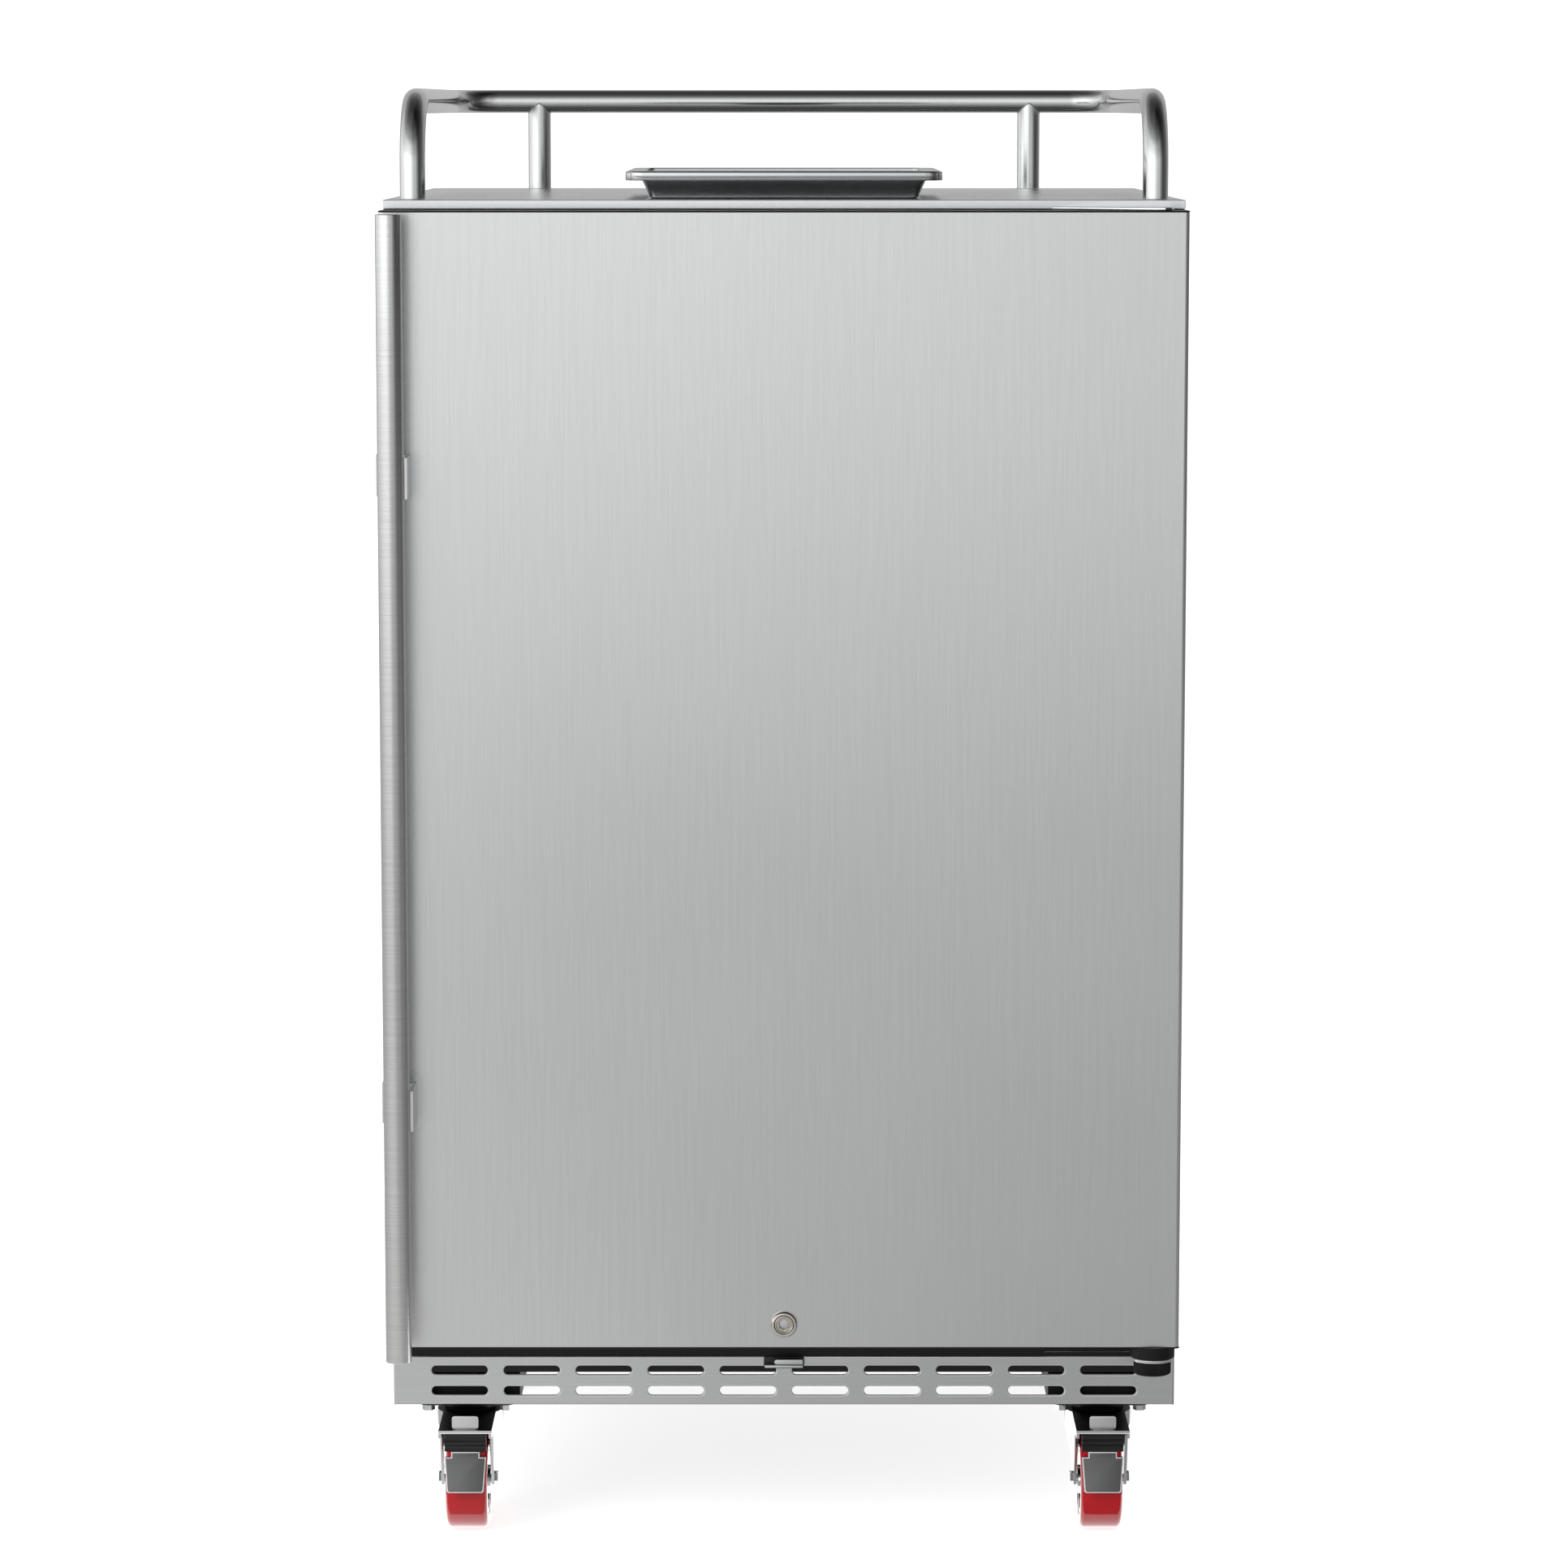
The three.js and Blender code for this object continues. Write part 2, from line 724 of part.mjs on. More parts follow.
function addEvaporatorFan() {
  const y = evaporatorFaceY + (fanBarDepth + fanWellDepth) / 2;
  const wellBack = evaporatorFaceY + fanWellDepth - seatGap;
  const parts = [
    rod('y', 0, fanZ, fanHubDiameter, y - fanHubDepth / 2, y + fanHubDepth / 2),
    rod('y', 0, fanZ, fanShaftDiameter, y, wellBack, smallSides),
  ];
  const bladeLength = (fanDiameter - fanHubDiameter) / 2 + fanBladeThickness;
  for (let i = 0; i < fanBladeCount; i += 1) {
    const blade = new THREE.BoxGeometry(bladeLength, fanBladeThickness, 2 * fanBladeWidth);
    blade.rotateX(fanBladeTilt);
    blade.translate(fanDiameter / 2 - bladeLength / 2, 0, 0);
    blade.rotateY((i / fanBladeCount) * 2 * Math.PI);
    parts.push(toSolid(blade.translate(0, y, fanZ)));
  }
  addPiece('evaporator_fan', join(parts), 'blackPlastic');
}

function addThermostat() {
  const faceY = frontY + thermostatSetback;
  const half = thermostatWidth / 2;
  const low = thermostatZ - thermostatHeight / 2;
  const outline = roundedOutline(
    thermostatX - half, thermostatX + half, faceY, faceY + thermostatDepth, knobGripHeight);
  addPiece('thermostat_housing', prism('z', outline, low, low + thermostatHeight), 'greyPlastic');
  const knobBack = faceY - seatGap;
  const dialFace = knobBack - knobDepth + knobGripHeight;
  const dial = rod('y', thermostatX, thermostatZ, knobDiameter, dialFace, knobBack);
  const reach = knobDiameter / 2 - knobGripWidth / 2;
  const grip = block(
    thermostatX - knobGripWidth / 2, thermostatX + knobGripWidth / 2,
    knobBack - knobDepth, dialFace + knobGripHeight, thermostatZ - reach, thermostatZ + reach);
  addPiece('thermostat_knob', join([dial, grip]), 'blackPlastic');
}

// Cooling machine behind the louvred cover.
function addCompressor() {
  const y = machineFrontY + machineDepth / 2;
  const low = baseTop + seatGap;
  const radius = machineDepth / 2 - compressorWallRoom;
  const top = low + compressorHeight;
  const profile = [
    [0, low], [radius - compressorDome, low], [radius, low + compressorDome],
    [radius, top - compressorDome], [radius - compressorDome / 2, top - compressorDome / 3],
    [radius - 2 * compressorDome, top], [0, top],
  ];
  const [halfX, halfY] = [compressorFootWidth / 2, machineDepth / 2 - compressorFootMargin];
  const foot = block(
    compressorX - halfX, compressorX + halfX, y - halfY, y + halfY, low, low + compressorFootSheet);
  const shell = turned('z', profile, [compressorX, y, 0]);
  addPiece('compressor', join([shell, foot]), 'blackSteel');
}

function addCondenser() {
  const y = machineFrontY + machineDepth / 2;
  const low = baseTop + seatGap;
  const back = y + condenserDepth / 2;
  const body = block(
    condenserX - condenserWidth / 2, condenserX + condenserWidth / 2, y - condenserDepth / 2, back,
    low, low + condenserHeight);
  const pitch = condenserWidth / condenserFinCount;
  const grooves = [];
  for (let i = 0; i < condenserFinCount; i += 1) {
    const x = condenserX - condenserWidth / 2 + (i + 1 / 2) * pitch;
    grooves.push(block(
      x - condenserFinGroove / 2, x + condenserFinGroove / 2, back - condenserGrooveDepth, back + overrun,
      low - overrun, low + condenserHeight + overrun));
  }
  addPiece('condenser', cut(body, grooves), 'aluminium');
}

function inletOutline(width, height) {
  const z = machineTop - inletDrop;
  return [
    [inletX - width / 2, z - height / 2], [inletX + width / 2, z - height / 2],
    [inletX + width / 2, z + height / 2], [inletX - width / 2, z + height / 2],
  ];
}

function addMachineCover() {
  const slots = [];
  for (const column of [-1, 0, 1]) {
    for (let row = 0; row < louvreRows; row += 1) {
      const z = baseTop + louvreBottom + row * louvrePitch;
      slots.push(slotOutline(column * louvreColumnPitch, z, louvreLength, louvreHeight));
    }
  }
  const inletHole = inletOutline(inletWidth + 2 * seatGap, inletHeight + 2 * seatGap);
  const outline = rectangle(innerHalf, basePanBottom, machineTop);
  addPiece(
    'machine_cover', prism('y', outline, rearY - caseSheet, rearY, [...slots, inletHole]), 'zinc');
}

function addPowerInlet() {
  const flangeBack = rearY + seatGap + inletFlangeSheet;
  const body = prism(
    'y', inletOutline(inletWidth, inletHeight), flangeBack - inletDepth, flangeBack);
  const flange = prism(
    'y', inletOutline(inletWidth + 2 * inletFlange, inletHeight + 2 * inletFlange),
    rearY + seatGap, flangeBack);
  const socket = prism(
    'y', inletOutline(inletSocketWidth, inletSocketHeight),
    flangeBack - inletSocketDepth, flangeBack + overrun);
  addPiece('power_inlet', cut(join([body, flange]), [socket]), 'blackPlastic');
}

function addGasLineGrommet() {
  const [bore, sleeve, lip] = [grommetHole / 2, grommetSleeve / 2, grommetDiameter / 2];
  const inner = linerBackY - grommetLip;
  const face = rearY + seatGap;
  const profile = [
    [bore, inner], [sleeve, inner], [sleeve, face], [lip, face],
    [lip, face + grommetLip], [bore, face + grommetLip], [bore, inner],
  ];
  addPiece('gas_line_grommet', turned('y', profile, [grommetX, 0, grommetZ]), 'rubber');
}

function addTowerHoleCap() {
  const low = topZ + seatGap;
  const outer = towerHoleDiameter / 2 + towerCapOverlap;
  const stem = towerHoleDiameter / 2 - 2 * seatGap;
  const stemLow = low - towerCapStem;
  const profile = [
    [0, low + towerCapSheet], [outer, low + towerCapSheet], [outer, low], [stem, low],
    [stem, stemLow], [stem - towerCapSheet, stemLow], [stem - towerCapSheet, low], [0, low],
  ];
  addPiece('tower_hole_cap', turned('z', profile, [0, towerY, 0]), 'blackPlastic');
}

// Kick grille: one folded sheet with two rows of slots and a notch for the lock keeper.
function addKickGrille() {
  const back = frontY - seatGap;
  const face = back - grilleSheet;
  const slotsPerRow = Math.floor((cabinetWidth - 2 * slotEndMargin) / slotPitch);
  const slots = [];
  for (let i = 0; i < slotsPerRow; i += 1) {
    const x = (i - (slotsPerRow - 1) / 2) * slotPitch;
    slots.push(slotOutline(x, grilleBottom + upperSlotHeight, slotLength, slotWidth));
    slots.push(slotOutline(x, grilleBottom + lowerSlotHeight, slotLength, slotWidth));
  }
  const [half, notch] = [halfWidth, notchWidth / 2];
  const outline = [
    [-half, grilleBottom], [half, grilleBottom], [half, grilleTop], [notch, grilleTop],
    [notch, notchBottom], [-notch, notchBottom], [-notch, grilleTop], [-half, grilleTop],
  ];
  const plate = prism('y', outline, face, back, slots);
  const returnBack = frontY + grilleReturn;
  const left = block(-half, grilleSheet - half, face, returnBack, grilleBottom, grilleTop);
  const right = block(half - grilleSheet, half, face, returnBack, grilleBottom, grilleTop);
  const lip = block(-half, half, face, frontY + grilleLip, grilleBottom, grilleBottom + grilleSheet);
  addPiece('kick_grille', join([plate, left, right, lip]), 'stainless');
}

// Keeper in the notch: the lock's cam turns down behind its raised front lip.
function addLockKeeper() {
  const half = notchWidth / 2 - seatGap;
  const back = frontY - seatGap;
  const plateFace = back - grilleSheet;
  const low = notchBottom + seatGap;
  const openX = keeperOpenSide - half;
  const reachY = frontY - keeperReach;
  const hookBack = plateFace - seatGap;
  const hookFace = hookBack - keeperHookSheet;
  const parts = [
    block(-half, half, plateFace, back, low, grilleTop - seatGap),
    block(openX, half, reachY, back, low, keeperTop),
    block(openX, half, reachY, reachY + keeperSheet, low, keeperTop + keeperLipHeight),
    block(-half, half, hookFace, back, low, keeperTop),
    block(-half, half, hookFace, hookBack, notchBottom - keeperHook, keeperTop),
  ];
  addPiece('lock_keeper', join(parts), 'zinc');
}

// Door hinges: fixed plates with pins that stand in the door's end caps.
function addHingeBrackets() {
  const seatY = frontY - seatGap;
  const leafRight = hingeX - hingeLeafOffset;
  const leafLeft = leafRight - hingeLeafWidth;
  const upperRadius = hingePinDiameter + seatGap;
  const upperTop = upperPlateBottom + upperPlateSheet;
  const upperOutline = [
    [leafLeft, seatY - hingeLeafSheet],
    ...arc(hingeX, hingeY, upperRadius, -2 * Math.PI / 3, 0),
    [hingeX + upperRadius, seatY], [leafLeft, seatY],
  ];
  addPiece('upper_hinge_bracket', join([
    prism('z', upperOutline, upperPlateBottom, upperTop),
    block(leafLeft, leafRight, seatY - hingeLeafSheet, seatY, upperTop - hingeLeafHeight, upperTop),
    rod('z', hingeX, hingeY, hingePinDiameter, upperPlateBottom - hingePinLength, upperTop),
  ]), 'polished');
  const lowerBottom = lowerPlateTop - hingeLeafSheet;
  const armY = seatY - bushingHeight;
  const lowerOutline = [
    [leafLeft, armY], [hingeX - lowerPlateRadius, armY],
    ...arc(hingeX, hingeY, lowerPlateRadius, -Math.PI, 0, 2 * bendSteps),
    [hingeX + lowerPlateRadius, seatY], [leafLeft, seatY],
  ];
  addPiece('lower_hinge_bracket', join([
    prism('z', lowerOutline, lowerBottom, lowerPlateTop),
    block(leafLeft, leafRight, seatY - hingeLeafSheet, seatY, lowerBottom, lowerBottom + hingeLeafHeight),
    rod('z', hingeX, hingeY, hingePinDiameter, lowerBottom, doorBottom + hingePinLength),
  ]), 'polished');
}

function addHingeCap() {
  const top = lowerPlateTop - hingeLeafSheet - seatGap;
  const low = top - hingeCapHeight;
  const radius = hingeCapDiameter / 2;
  const profile = [[0, low], [radius - caseSheet, low], [radius, low + caseSheet], [radius, top], [0, top]];
  addPiece('hinge_cap', turned('z', profile, [hingeX, hingeY, 0]), 'blackPlastic');
}

// Plan outline of the door with round front corners, open line at the back.
function doorPlan(inset, back) {
  const side = halfWidth - inset;
  const face = doorFaceY + inset;
  const radius = Math.max(doorCornerRadius - inset, doorCornerRadius / 4);
  const quarter = Math.PI / 2;
  return [
    [side, back], [-side, back],
    ...arc(radius - side, face + radius, radius, Math.PI, 3 * quarter),
    ...arc(side - radius, face + radius, radius, -quarter, 0),
  ];
}

function lockHole() {
  return rod('y', 0, lockZ, barrelDiameter + 2 * seatGap, doorFaceY - overrun, doorRearY + overrun);
}

function upperPinHole() {
  const low = upperPlateBottom - hingePinLength - 2 * pinClearance;
  return rod('z', hingeX, hingeY, hingePinDiameter + 2 * pinClearance, low, doorTop + overrun);
}

function lowerPinHole() {
  const high = doorBottom + hingePinLength + 2 * pinClearance;
  return rod('z', hingeX, hingeY, hingePinDiameter + 2 * pinClearance, lowerPlateTop - overrun, high);
}

function addDoorShell() {
  const hollow = prism('z', doorPlan(skinSheet, doorRearY + overrun), skinBottom - overrun, skinTop + overrun);
  const skin = prism('z', doorPlan(0, doorRearY), skinBottom, skinTop);
  addPiece('door_skin', cut(skin, [hollow, lockHole()]), 'stainless');
  const inside = skinSheet + seatGap;
  const core = prism('z', doorPlan(inside, coreBackY), coreBottom, coreTop);
  addPiece('door_core', cut(core, [lockHole(), upperPinHole(), lowerPinHole()]), 'foam');
}

function addDoorCaps() {
  const inside = skinSheet + seatGap;
  const lowerPlate = prism(
    'z', doorPlan(-endCapProud, doorRearY), doorBottom, doorBottom + endCapSheet);
  const lowerPlug = prism('z', doorPlan(inside, coreBackY), doorBottom, coreBottom - seatGap);
  const bushing = rod('z', hingeX, hingeY, bushingDiameter, lowerPlateTop + seatGap, doorBottom + endCapSheet);
  addPiece(
    'door_end_cap_bottom', cut(join([lowerPlate, lowerPlug, bushing]), [lowerPinHole()]), 'blackPlastic');
  const upperPlate = prism('z', doorPlan(-endCapProud, doorRearY), doorTop - endCapSheet, doorTop);
  const upperPlug = prism('z', doorPlan(inside, coreBackY), coreTop + seatGap, doorTop);
  addPiece('door_end_cap_top', cut(join([upperPlate, upperPlug]), [upperPinHole()]), 'blackPlastic');
}

// Inner face of the door: a flat sheet with a raised ridge that enters the opening.
function addDoorLiner() {
  const face = doorRearY - doorLinerSheet;
  const plate = prism('y', rectangle(halfWidth - skinSheet - seatGap, skinBottom, skinTop), face, doorRearY);
  const half = compartmentHalf - dykeMargin;
  const [low, high] = [compartmentFloor + dykeMargin, compartmentCeiling - dykeMargin];
  const ridge = prism(
    'y', roundedOutline(-half, half, low, high, dykeCornerRadius), face, doorRearY + dykeHeight,
    [roundedOutline(dykeRidge - half, half - dykeRidge, low + dykeRidge, high - dykeRidge, dykeCornerRadius / 2)]);
  addPiece('door_liner', cut(join([plate, ridge]), [lockHole()]), 'whitePlastic');
}

function addDoorGasket() {
  const half = linerHalf + linerFlangeWidth + gasketMargin;
  const reach = linerSheet + linerFlangeWidth + gasketMargin;
  const [low, high] = [compartmentFloor - reach, compartmentCeiling + reach];
  const outline = rectangle(half + gasketBand, low - gasketBand, high + gasketBand);
  const ring = prism(
    'y', outline, doorRearY + seatGap, frontY - seatGap, [rectangle(half, low, high)]);
  addPiece('door_gasket', ring, 'gasketGrey');
}

// Vertical tube on the door's free side, held by two bent straps.
function addHandle() {
  const tube = rod('z', handleX, handleY, handleDiameter, handleBottom, handleTop);
  addPiece('handle_tube', tube, 'stainless');
  addPiece('handle_bracket_upper', handleStrap(upperStrapZ), 'stainless');
  addPiece('handle_bracket_lower', handleStrap(lowerStrapZ), 'stainless');
}

function handleStrap(centreZ) {
  const side = -halfWidth - seatGap;
  const outer = side - strapSheet;
  const web = doorFaceY - seatGap;
  const back = doorFaceY + strapReachBack;
  const tip = handleY + seatGap;
  const leg = handleX + handleDiameter / 2 + seatGap;
  const outline = [
    [outer, back], [side, back], [side, web], [leg + strapSheet, web], [leg + strapSheet, tip],
    [leg, tip], [leg, web - strapSheet], [outer, web - strapSheet],
  ];
  const [low, high] = [centreZ - strapHeight / 2, centreZ + strapHeight / 2];
  const corners = [[low, -1], [high, 1]].map(([z, way]) => prism('x', [
    [back - strapChamfer - overrun, z + way * overrun], [back + overrun, z + way * overrun],
    [back + overrun, z - way * (strapChamfer + overrun)],
  ], outer - overrun, side + overrun / 2));
  return cut(prism('z', outline, low, high), corners);
}

// Lock: fixed barrel with a bezel, and a turning plug with a hex socket and a cam behind the door.
function addLock() {
  const bore = plugDiameter / 2 + plugClearance;
  const [bezel, barrel] = [bezelDiameter / 2, barrelDiameter / 2];
  const seat = doorFaceY - seatGap;
  const face = doorFaceY - bezelProud;
  const profile = [
    [bore, face], [bezel - doorCornerRadius / 3, face], [bezel, face + doorCornerRadius / 3],
    [bezel, seat], [barrel, seat], [barrel, doorRearY], [bore, doorRearY], [bore, face],
  ];
  addPiece('lock_barrel', turned('y', profile, [0, 0, lockZ]), 'nickel');
  const plugFace = doorFaceY - plugProud;
  const plug = rod('y', 0, lockZ, plugDiameter, plugFace, camFrontY + camSheet);
  const hex = circle(0, lockZ, hexAcross / Math.sqrt(3), hexSides, 1 / 2);
  const socket = prism('y', hex, plugFace - overrun, plugFace + hexDepth);
  const tip = Math.asin(camWidth / 2 / camReach);
  const cam = prism('y', [
    [0, lockZ - camWidth / 2], ...arc(0, lockZ, camWidth / 2, -Math.PI / 2, Math.PI / 2),
    ...arc(0, lockZ, camReach, Math.PI - tip, Math.PI + tip),
  ], camFrontY, camFrontY + camSheet);
  addPiece('lock_plug', cut(join([plug, cam]), [socket]), 'nickel');
}

// Guard rail round the top: one bent tube with two welded rear posts.
function addGuardRail() {
  const footZ = topZ + seatGap;
  const z = topZ + railHeight;
  const frontLegY = frontY + railFrontSetback;
  const rearBarY = rearY - railRearInset;
  const left = [
    [-railX, frontLegY, footZ],
    ...arc(frontLegY + railFrontBend, z - railFrontBend, railFrontBend, Math.PI, Math.PI / 2, bendSteps)
      .map(([y, height]) => [-railX, y, height]),
    ...arc(railRearBend - railX, rearBarY - railRearBend, railRearBend, Math.PI, Math.PI / 2, bendSteps)
      .map(([x, y]) => [x, y, z]),
  ];
  const right = left.map(([x, y, height]) => [-x, y, height]).reverse();
  const stations = [...left, ...right].map(([x, y, height]) => new THREE.Vector3(x, y, height));
  const posts = [-postX, postX].map(
    (x) => rod('z', x, rearBarY, postDiameter, footZ, z, railSides));
  addPiece('guard_rail', join([tubeAlong(stations, railDiameter), ...posts]), 'stainless');
}

// Drip tray with a folded rim and an inner ledge for its lift-out grate.
function addDripTray() {
  const half = trayWidth / 2;
  const y = frontY + traySetback + half;
  const low = topZ + seatGap;
  const top = low + trayHeight;
  const wall = half - trayWallInset;
  const opening = half - trayFlange;
  const ledgeZ = top - trayLedgeDrop;
  const rings = [
    [half - trayBottomInset, low], [wall, top - traySheet], [half - traySheet, top - traySheet],
    [half - traySheet, top - trayRimHeight], [half, top - trayRimHeight], [half, top - trayRimRound],
    [half - trayRimRound, top], [opening, top], [opening, ledgeZ], [opening - trayLedge, ledgeZ],
    [half - trayBottomInset - traySheet, low + traySheet],
  ];
  addPiece('drip_tray', ringStack(rings, 0, y, trayCornerRadius, half), 'stainless');
  const edge = opening - seatGap;
  const slots = [];
  for (let column = 0; column < grateSlotColumns; column += 1) {
    for (let row = 0; row < grateSlotRows; row += 1) {
      const slotX = (column - (grateSlotColumns - 1) / 2) * grateSlotPitch;
      const slotY = y + (row - (grateSlotRows - 1) / 2) * (grateSlotLength + grateSlotWidth);
      slots.push(slotOutline(slotY, slotX, grateSlotLength, grateSlotWidth).map(([a, b]) => [b, a]));
    }
  }
  const corner = trayCornerRadius / 3;
  const outline = roundedOutline(-edge, edge, y - edge, y + edge, corner);
  const grateZ = ledgeZ + seatGap;
  addPiece('drip_grate', prism('z', outline, grateZ, grateZ + grateSheet, slots), 'stainless');
}

// Steel box under the base pan that takes a caster's mounting plate; way is the side of the cabinet.
function addCasterBracket(name, way, y0) {
  const y1 = y0 + bracketDepth;
  const [near, far] = [way * (innerHalf - bracketWidth), way * innerHalf];
  const [x0, x1] = [Math.min(near, far), Math.max(near, far)];
  const top = basePanBottom - seatGap;
  const floor = bracketBottom + bracketSheet;
  const middle = (y0 + y1) / 2;
  const hollows = [[y0 + bracketSheet, middle - bracketSheet / 2], [middle + bracketSheet / 2, y1 - bracketSheet]];
  const pockets = hollows.map(
    ([a, b]) => block(x0 + bracketSheet, x1 - bracketSheet, a, b, floor, top + overrun));
  addPiece(name, cut(block(x0, x1, y0, y1, bracketBottom, top), pockets), 'blackSteel');
}

function addCasterPlate(name, x, y) {
  const top = bracketBottom - seatGap;
  const low = top - mountSheet;
  const outline = roundedOutline(
    x - mountWidth / 2, x + mountWidth / 2, y - mountDepth / 2, y + mountDepth / 2, mountCornerRadius);
  const raceLow = crownTop + seatGap;
  const race = swivelDiameter / 2;
  const profile = [
    [0, top], [race, top], [race, low - swivelRim], [race - swivelTaper, raceLow], [0, raceLow]];
  const pinLow = crownTop - crownSheet - seatGap - kingpinHeadHeight;
  const parts = [
    prism('z', outline, low, top), turned('z', profile, [x, y, 0]),
    rod('z', x, y, kingpinDiameter, pinLow, top, smallSides),
    rod('z', x, y, kingpinHead, pinLow, pinLow + kingpinHeadHeight, smallSides),
  ];
  for (const [dx, dy] of [[-1, -1], [1, -1], [-1, 1], [1, 1]]) {
    parts.push(rod('z', x + dx * mountBoltX, y + dy * mountBoltY, boltAcross, low - boltHeight, top, hexSides));
  }
  addPiece(name, join(parts), 'zinc');
}

// Fork: crown plate over the wheel, two legs, a skirt round the swivel and the bolted axle.
function addCasterFork(name, x, y, braked) {
  const axleY = y - trail;
  const crownLow = crownTop - crownSheet;
  const edgeY = y - crownFront;
  const half = forkWidth / 2;
  const leg = [
    [y + legRearReach, crownTop], [axleY - legTopReach, crownTop],
    ...arc(axleY, axleZ, legEndRadius, Math.PI, 2 * Math.PI, bendSteps),
    [axleY + legEndRadius, axleZ],
  ];
  const tab = [
    [edgeY, crownTop], [edgeY, crownTop - crownTab], [edgeY + crownFrontTab, crownTop - crownTab],
    [edgeY + crownFrontTab, crownTop]];
  const sides = [[x - half, x - half + forkSheet], [x + half - forkSheet, x + half]];
  const skirtLow = crownTop - skirtHeight;
  const skirtBend = crownTop - skirtStraight;
  const [wide, narrow] = [skirtDiameter / 2, skirtDiameter / 2 - skirtNarrowing];
  const skirtProfile = [
    [wide, crownTop], [wide, skirtBend], [narrow, skirtLow], [narrow - forkSheet, skirtLow],
    [wide - forkSheet, skirtBend], [wide - forkSheet, crownTop], [wide, crownTop],
  ];
  const skirt = cut(turned('z', skirtProfile, [x, y, 0]), [
    block(x - half + forkSheet, x + half - forkSheet, y - skirtDiameter, y, skirtLow - overrun, crownTop + overrun),
  ]);
  const parts = [
    rod('z', x, y, skirtDiameter, crownLow, crownTop),
    block(x - half, x + half, edgeY, y, crownLow, crownTop),
    ...sides.flatMap(([a, b]) => [prism('x', leg, a, b), prism('x', tab, a, b)]),
    rod('x', axleY, axleZ, axleDiameter, x - half, x + half, smallSides),
    rod('x', axleY, axleZ, axleHead, x - half - axleHeadHeight, x - half + forkSheet / 2, hexSides),
    rod('x', axleY, axleZ, axleHead, x + half - forkSheet / 2, x + half + axleHeadHeight, hexSides),
    skirt,
  ];
  const holes = [
    rod('z', x, y, kingpinDiameter + 2 * pinClearance, crownLow - overrun, crownTop + overrun, smallSides)];
  if (braked) {
    const slotHalf = pedalNeckWidth / 2 + pedalSlotSpare;
    const slotY = edgeY + pedalEdge;
    holes.push(block(
      x - slotHalf, x + slotHalf, slotY, slotY + pedalSheet + 2 * pedalSlotSpare,
      crownLow - overrun, crownTop + overrun));
  }
  addPiece(name, cut(join(parts), holes), 'zinc');
}

function addWheel(prefix, x, y) {
  const centre = [x, y - trail, axleZ];
  const hubRadius = wheelDiameter / 2 - treadDepth - seatGap;
  const bore = axleDiameter / 2 + pinClearance;
  const boss = forkWidth / 2 - forkSheet - hubSideGap;
  const rim = treadWidth / 2 - hubRimInset;
  const web = rim - hubRecess;
  const hub = [
    [bore, -boss], [hubBoss / 2, -boss], [hubBoss / 2, -web], [hubRadius - hubRim, -web],
    [hubRadius - hubRim, -rim], [hubRadius, -rim], [hubRadius, rim], [hubRadius - hubRim, rim],
    [hubRadius - hubRim, web], [hubBoss / 2, web], [hubBoss / 2, boss], [bore, boss], [bore, -boss],
  ];
  addPiece(`${prefix}_hub`, turned('x', hub, centre, hubSides), 'greyPlastic');
  const [inner, outer, side] = [hubRadius + seatGap, wheelDiameter / 2, treadWidth / 2];
  const tread = [
    [inner, -side], [outer - treadRound, -side], [outer, treadRound - side],
    [outer, side - treadRound], [outer - treadRound, side], [inner, side], [inner, -side],
  ];
  addPiece(`${prefix}_tread`, turned('x', tread, centre, wheelSides), 'redTread');
}

// Pedal in front of the wheel: its neck stands in a slot of the fork's crown.
function addBrakePedal(name, x, y) {
  const face = y - crownFront + pedalEdge + pedalSlotSpare;
  const back = face + pedalSheet;
  const crownLow = crownTop - crownSheet;
  const headLow = crownTop + seatGap;
  const upperTop = crownLow - pedalGap;
  const upperLow = upperTop - pedalUpperDrop;
  const tipZ = upperLow - pedalLowerDrop;
  const [head, neck, half, tip] = [pedalHeadWidth, pedalNeckWidth, pedalWidth, pedalTipWidth].map((w) => w / 2);
  const slope = [
    [face, upperLow], [face - pedalSlope, tipZ], [back - pedalSlope, tipZ], [back, upperLow]];
  const parts = [
    prism('y', roundedOutline(
      x - head, x + head, headLow, headLow + pedalHeadHeight, pedalHeadCorner), face, back),
    block(x - neck, x + neck, face, back, upperTop, headLow),
    block(x - half, x + half, face, back, upperLow, upperTop),
    prism('x', slope, x - half, x + half),
  ];
  const cuts = [-1, 1].flatMap((way) => {
    const taper = [
      [x + way * half, upperLow], [x + way * tip, tipZ], [x + way * tip, tipZ - overrun],
      [x + way * (half + overrun), tipZ - overrun], [x + way * (half + overrun), upperLow]];
    const notch = [x + way * (half - pedalNotchWidth), x + way * (half + overrun)].sort((a, b) => a - b);
    const [y0, y1] = [face - pedalSlope - overrun, back + overrun];
    return [prism('y', taper, y0, y1), block(...notch, y0, y1, upperLow - pedalNotch, upperLow)];
  });
  addPiece(name, cut(join(parts), cuts), 'blackSteel');
}

function addCasters() {
  const frontAxis = frontY + casterSetback;
  const rearAxis = rearY - casterRearInset;
  const places = [
    ['front_left', -1, frontAxis, true], ['front_right', 1, frontAxis, true],
    ['rear_left', -1, rearAxis, false], ['rear_right', 1, rearAxis, false],
  ];
  for (const [place, way, y, braked] of places) {
    const bracketY = braked ? frontY + grilleLip + 2 * seatGap : shellBackY - bracketDepth;
    const x = way * casterX;
    addCasterBracket(`caster_bracket_${place}`, way, bracketY);
    addCasterPlate(`caster_plate_${place}`, x, y);
    addCasterFork(`caster_fork_${place}`, x, y, braked);
    addWheel(`wheel_${place}`, x, y);
    if (braked) addBrakePedal(`brake_pedal_${place}`, x, y);
  }
}

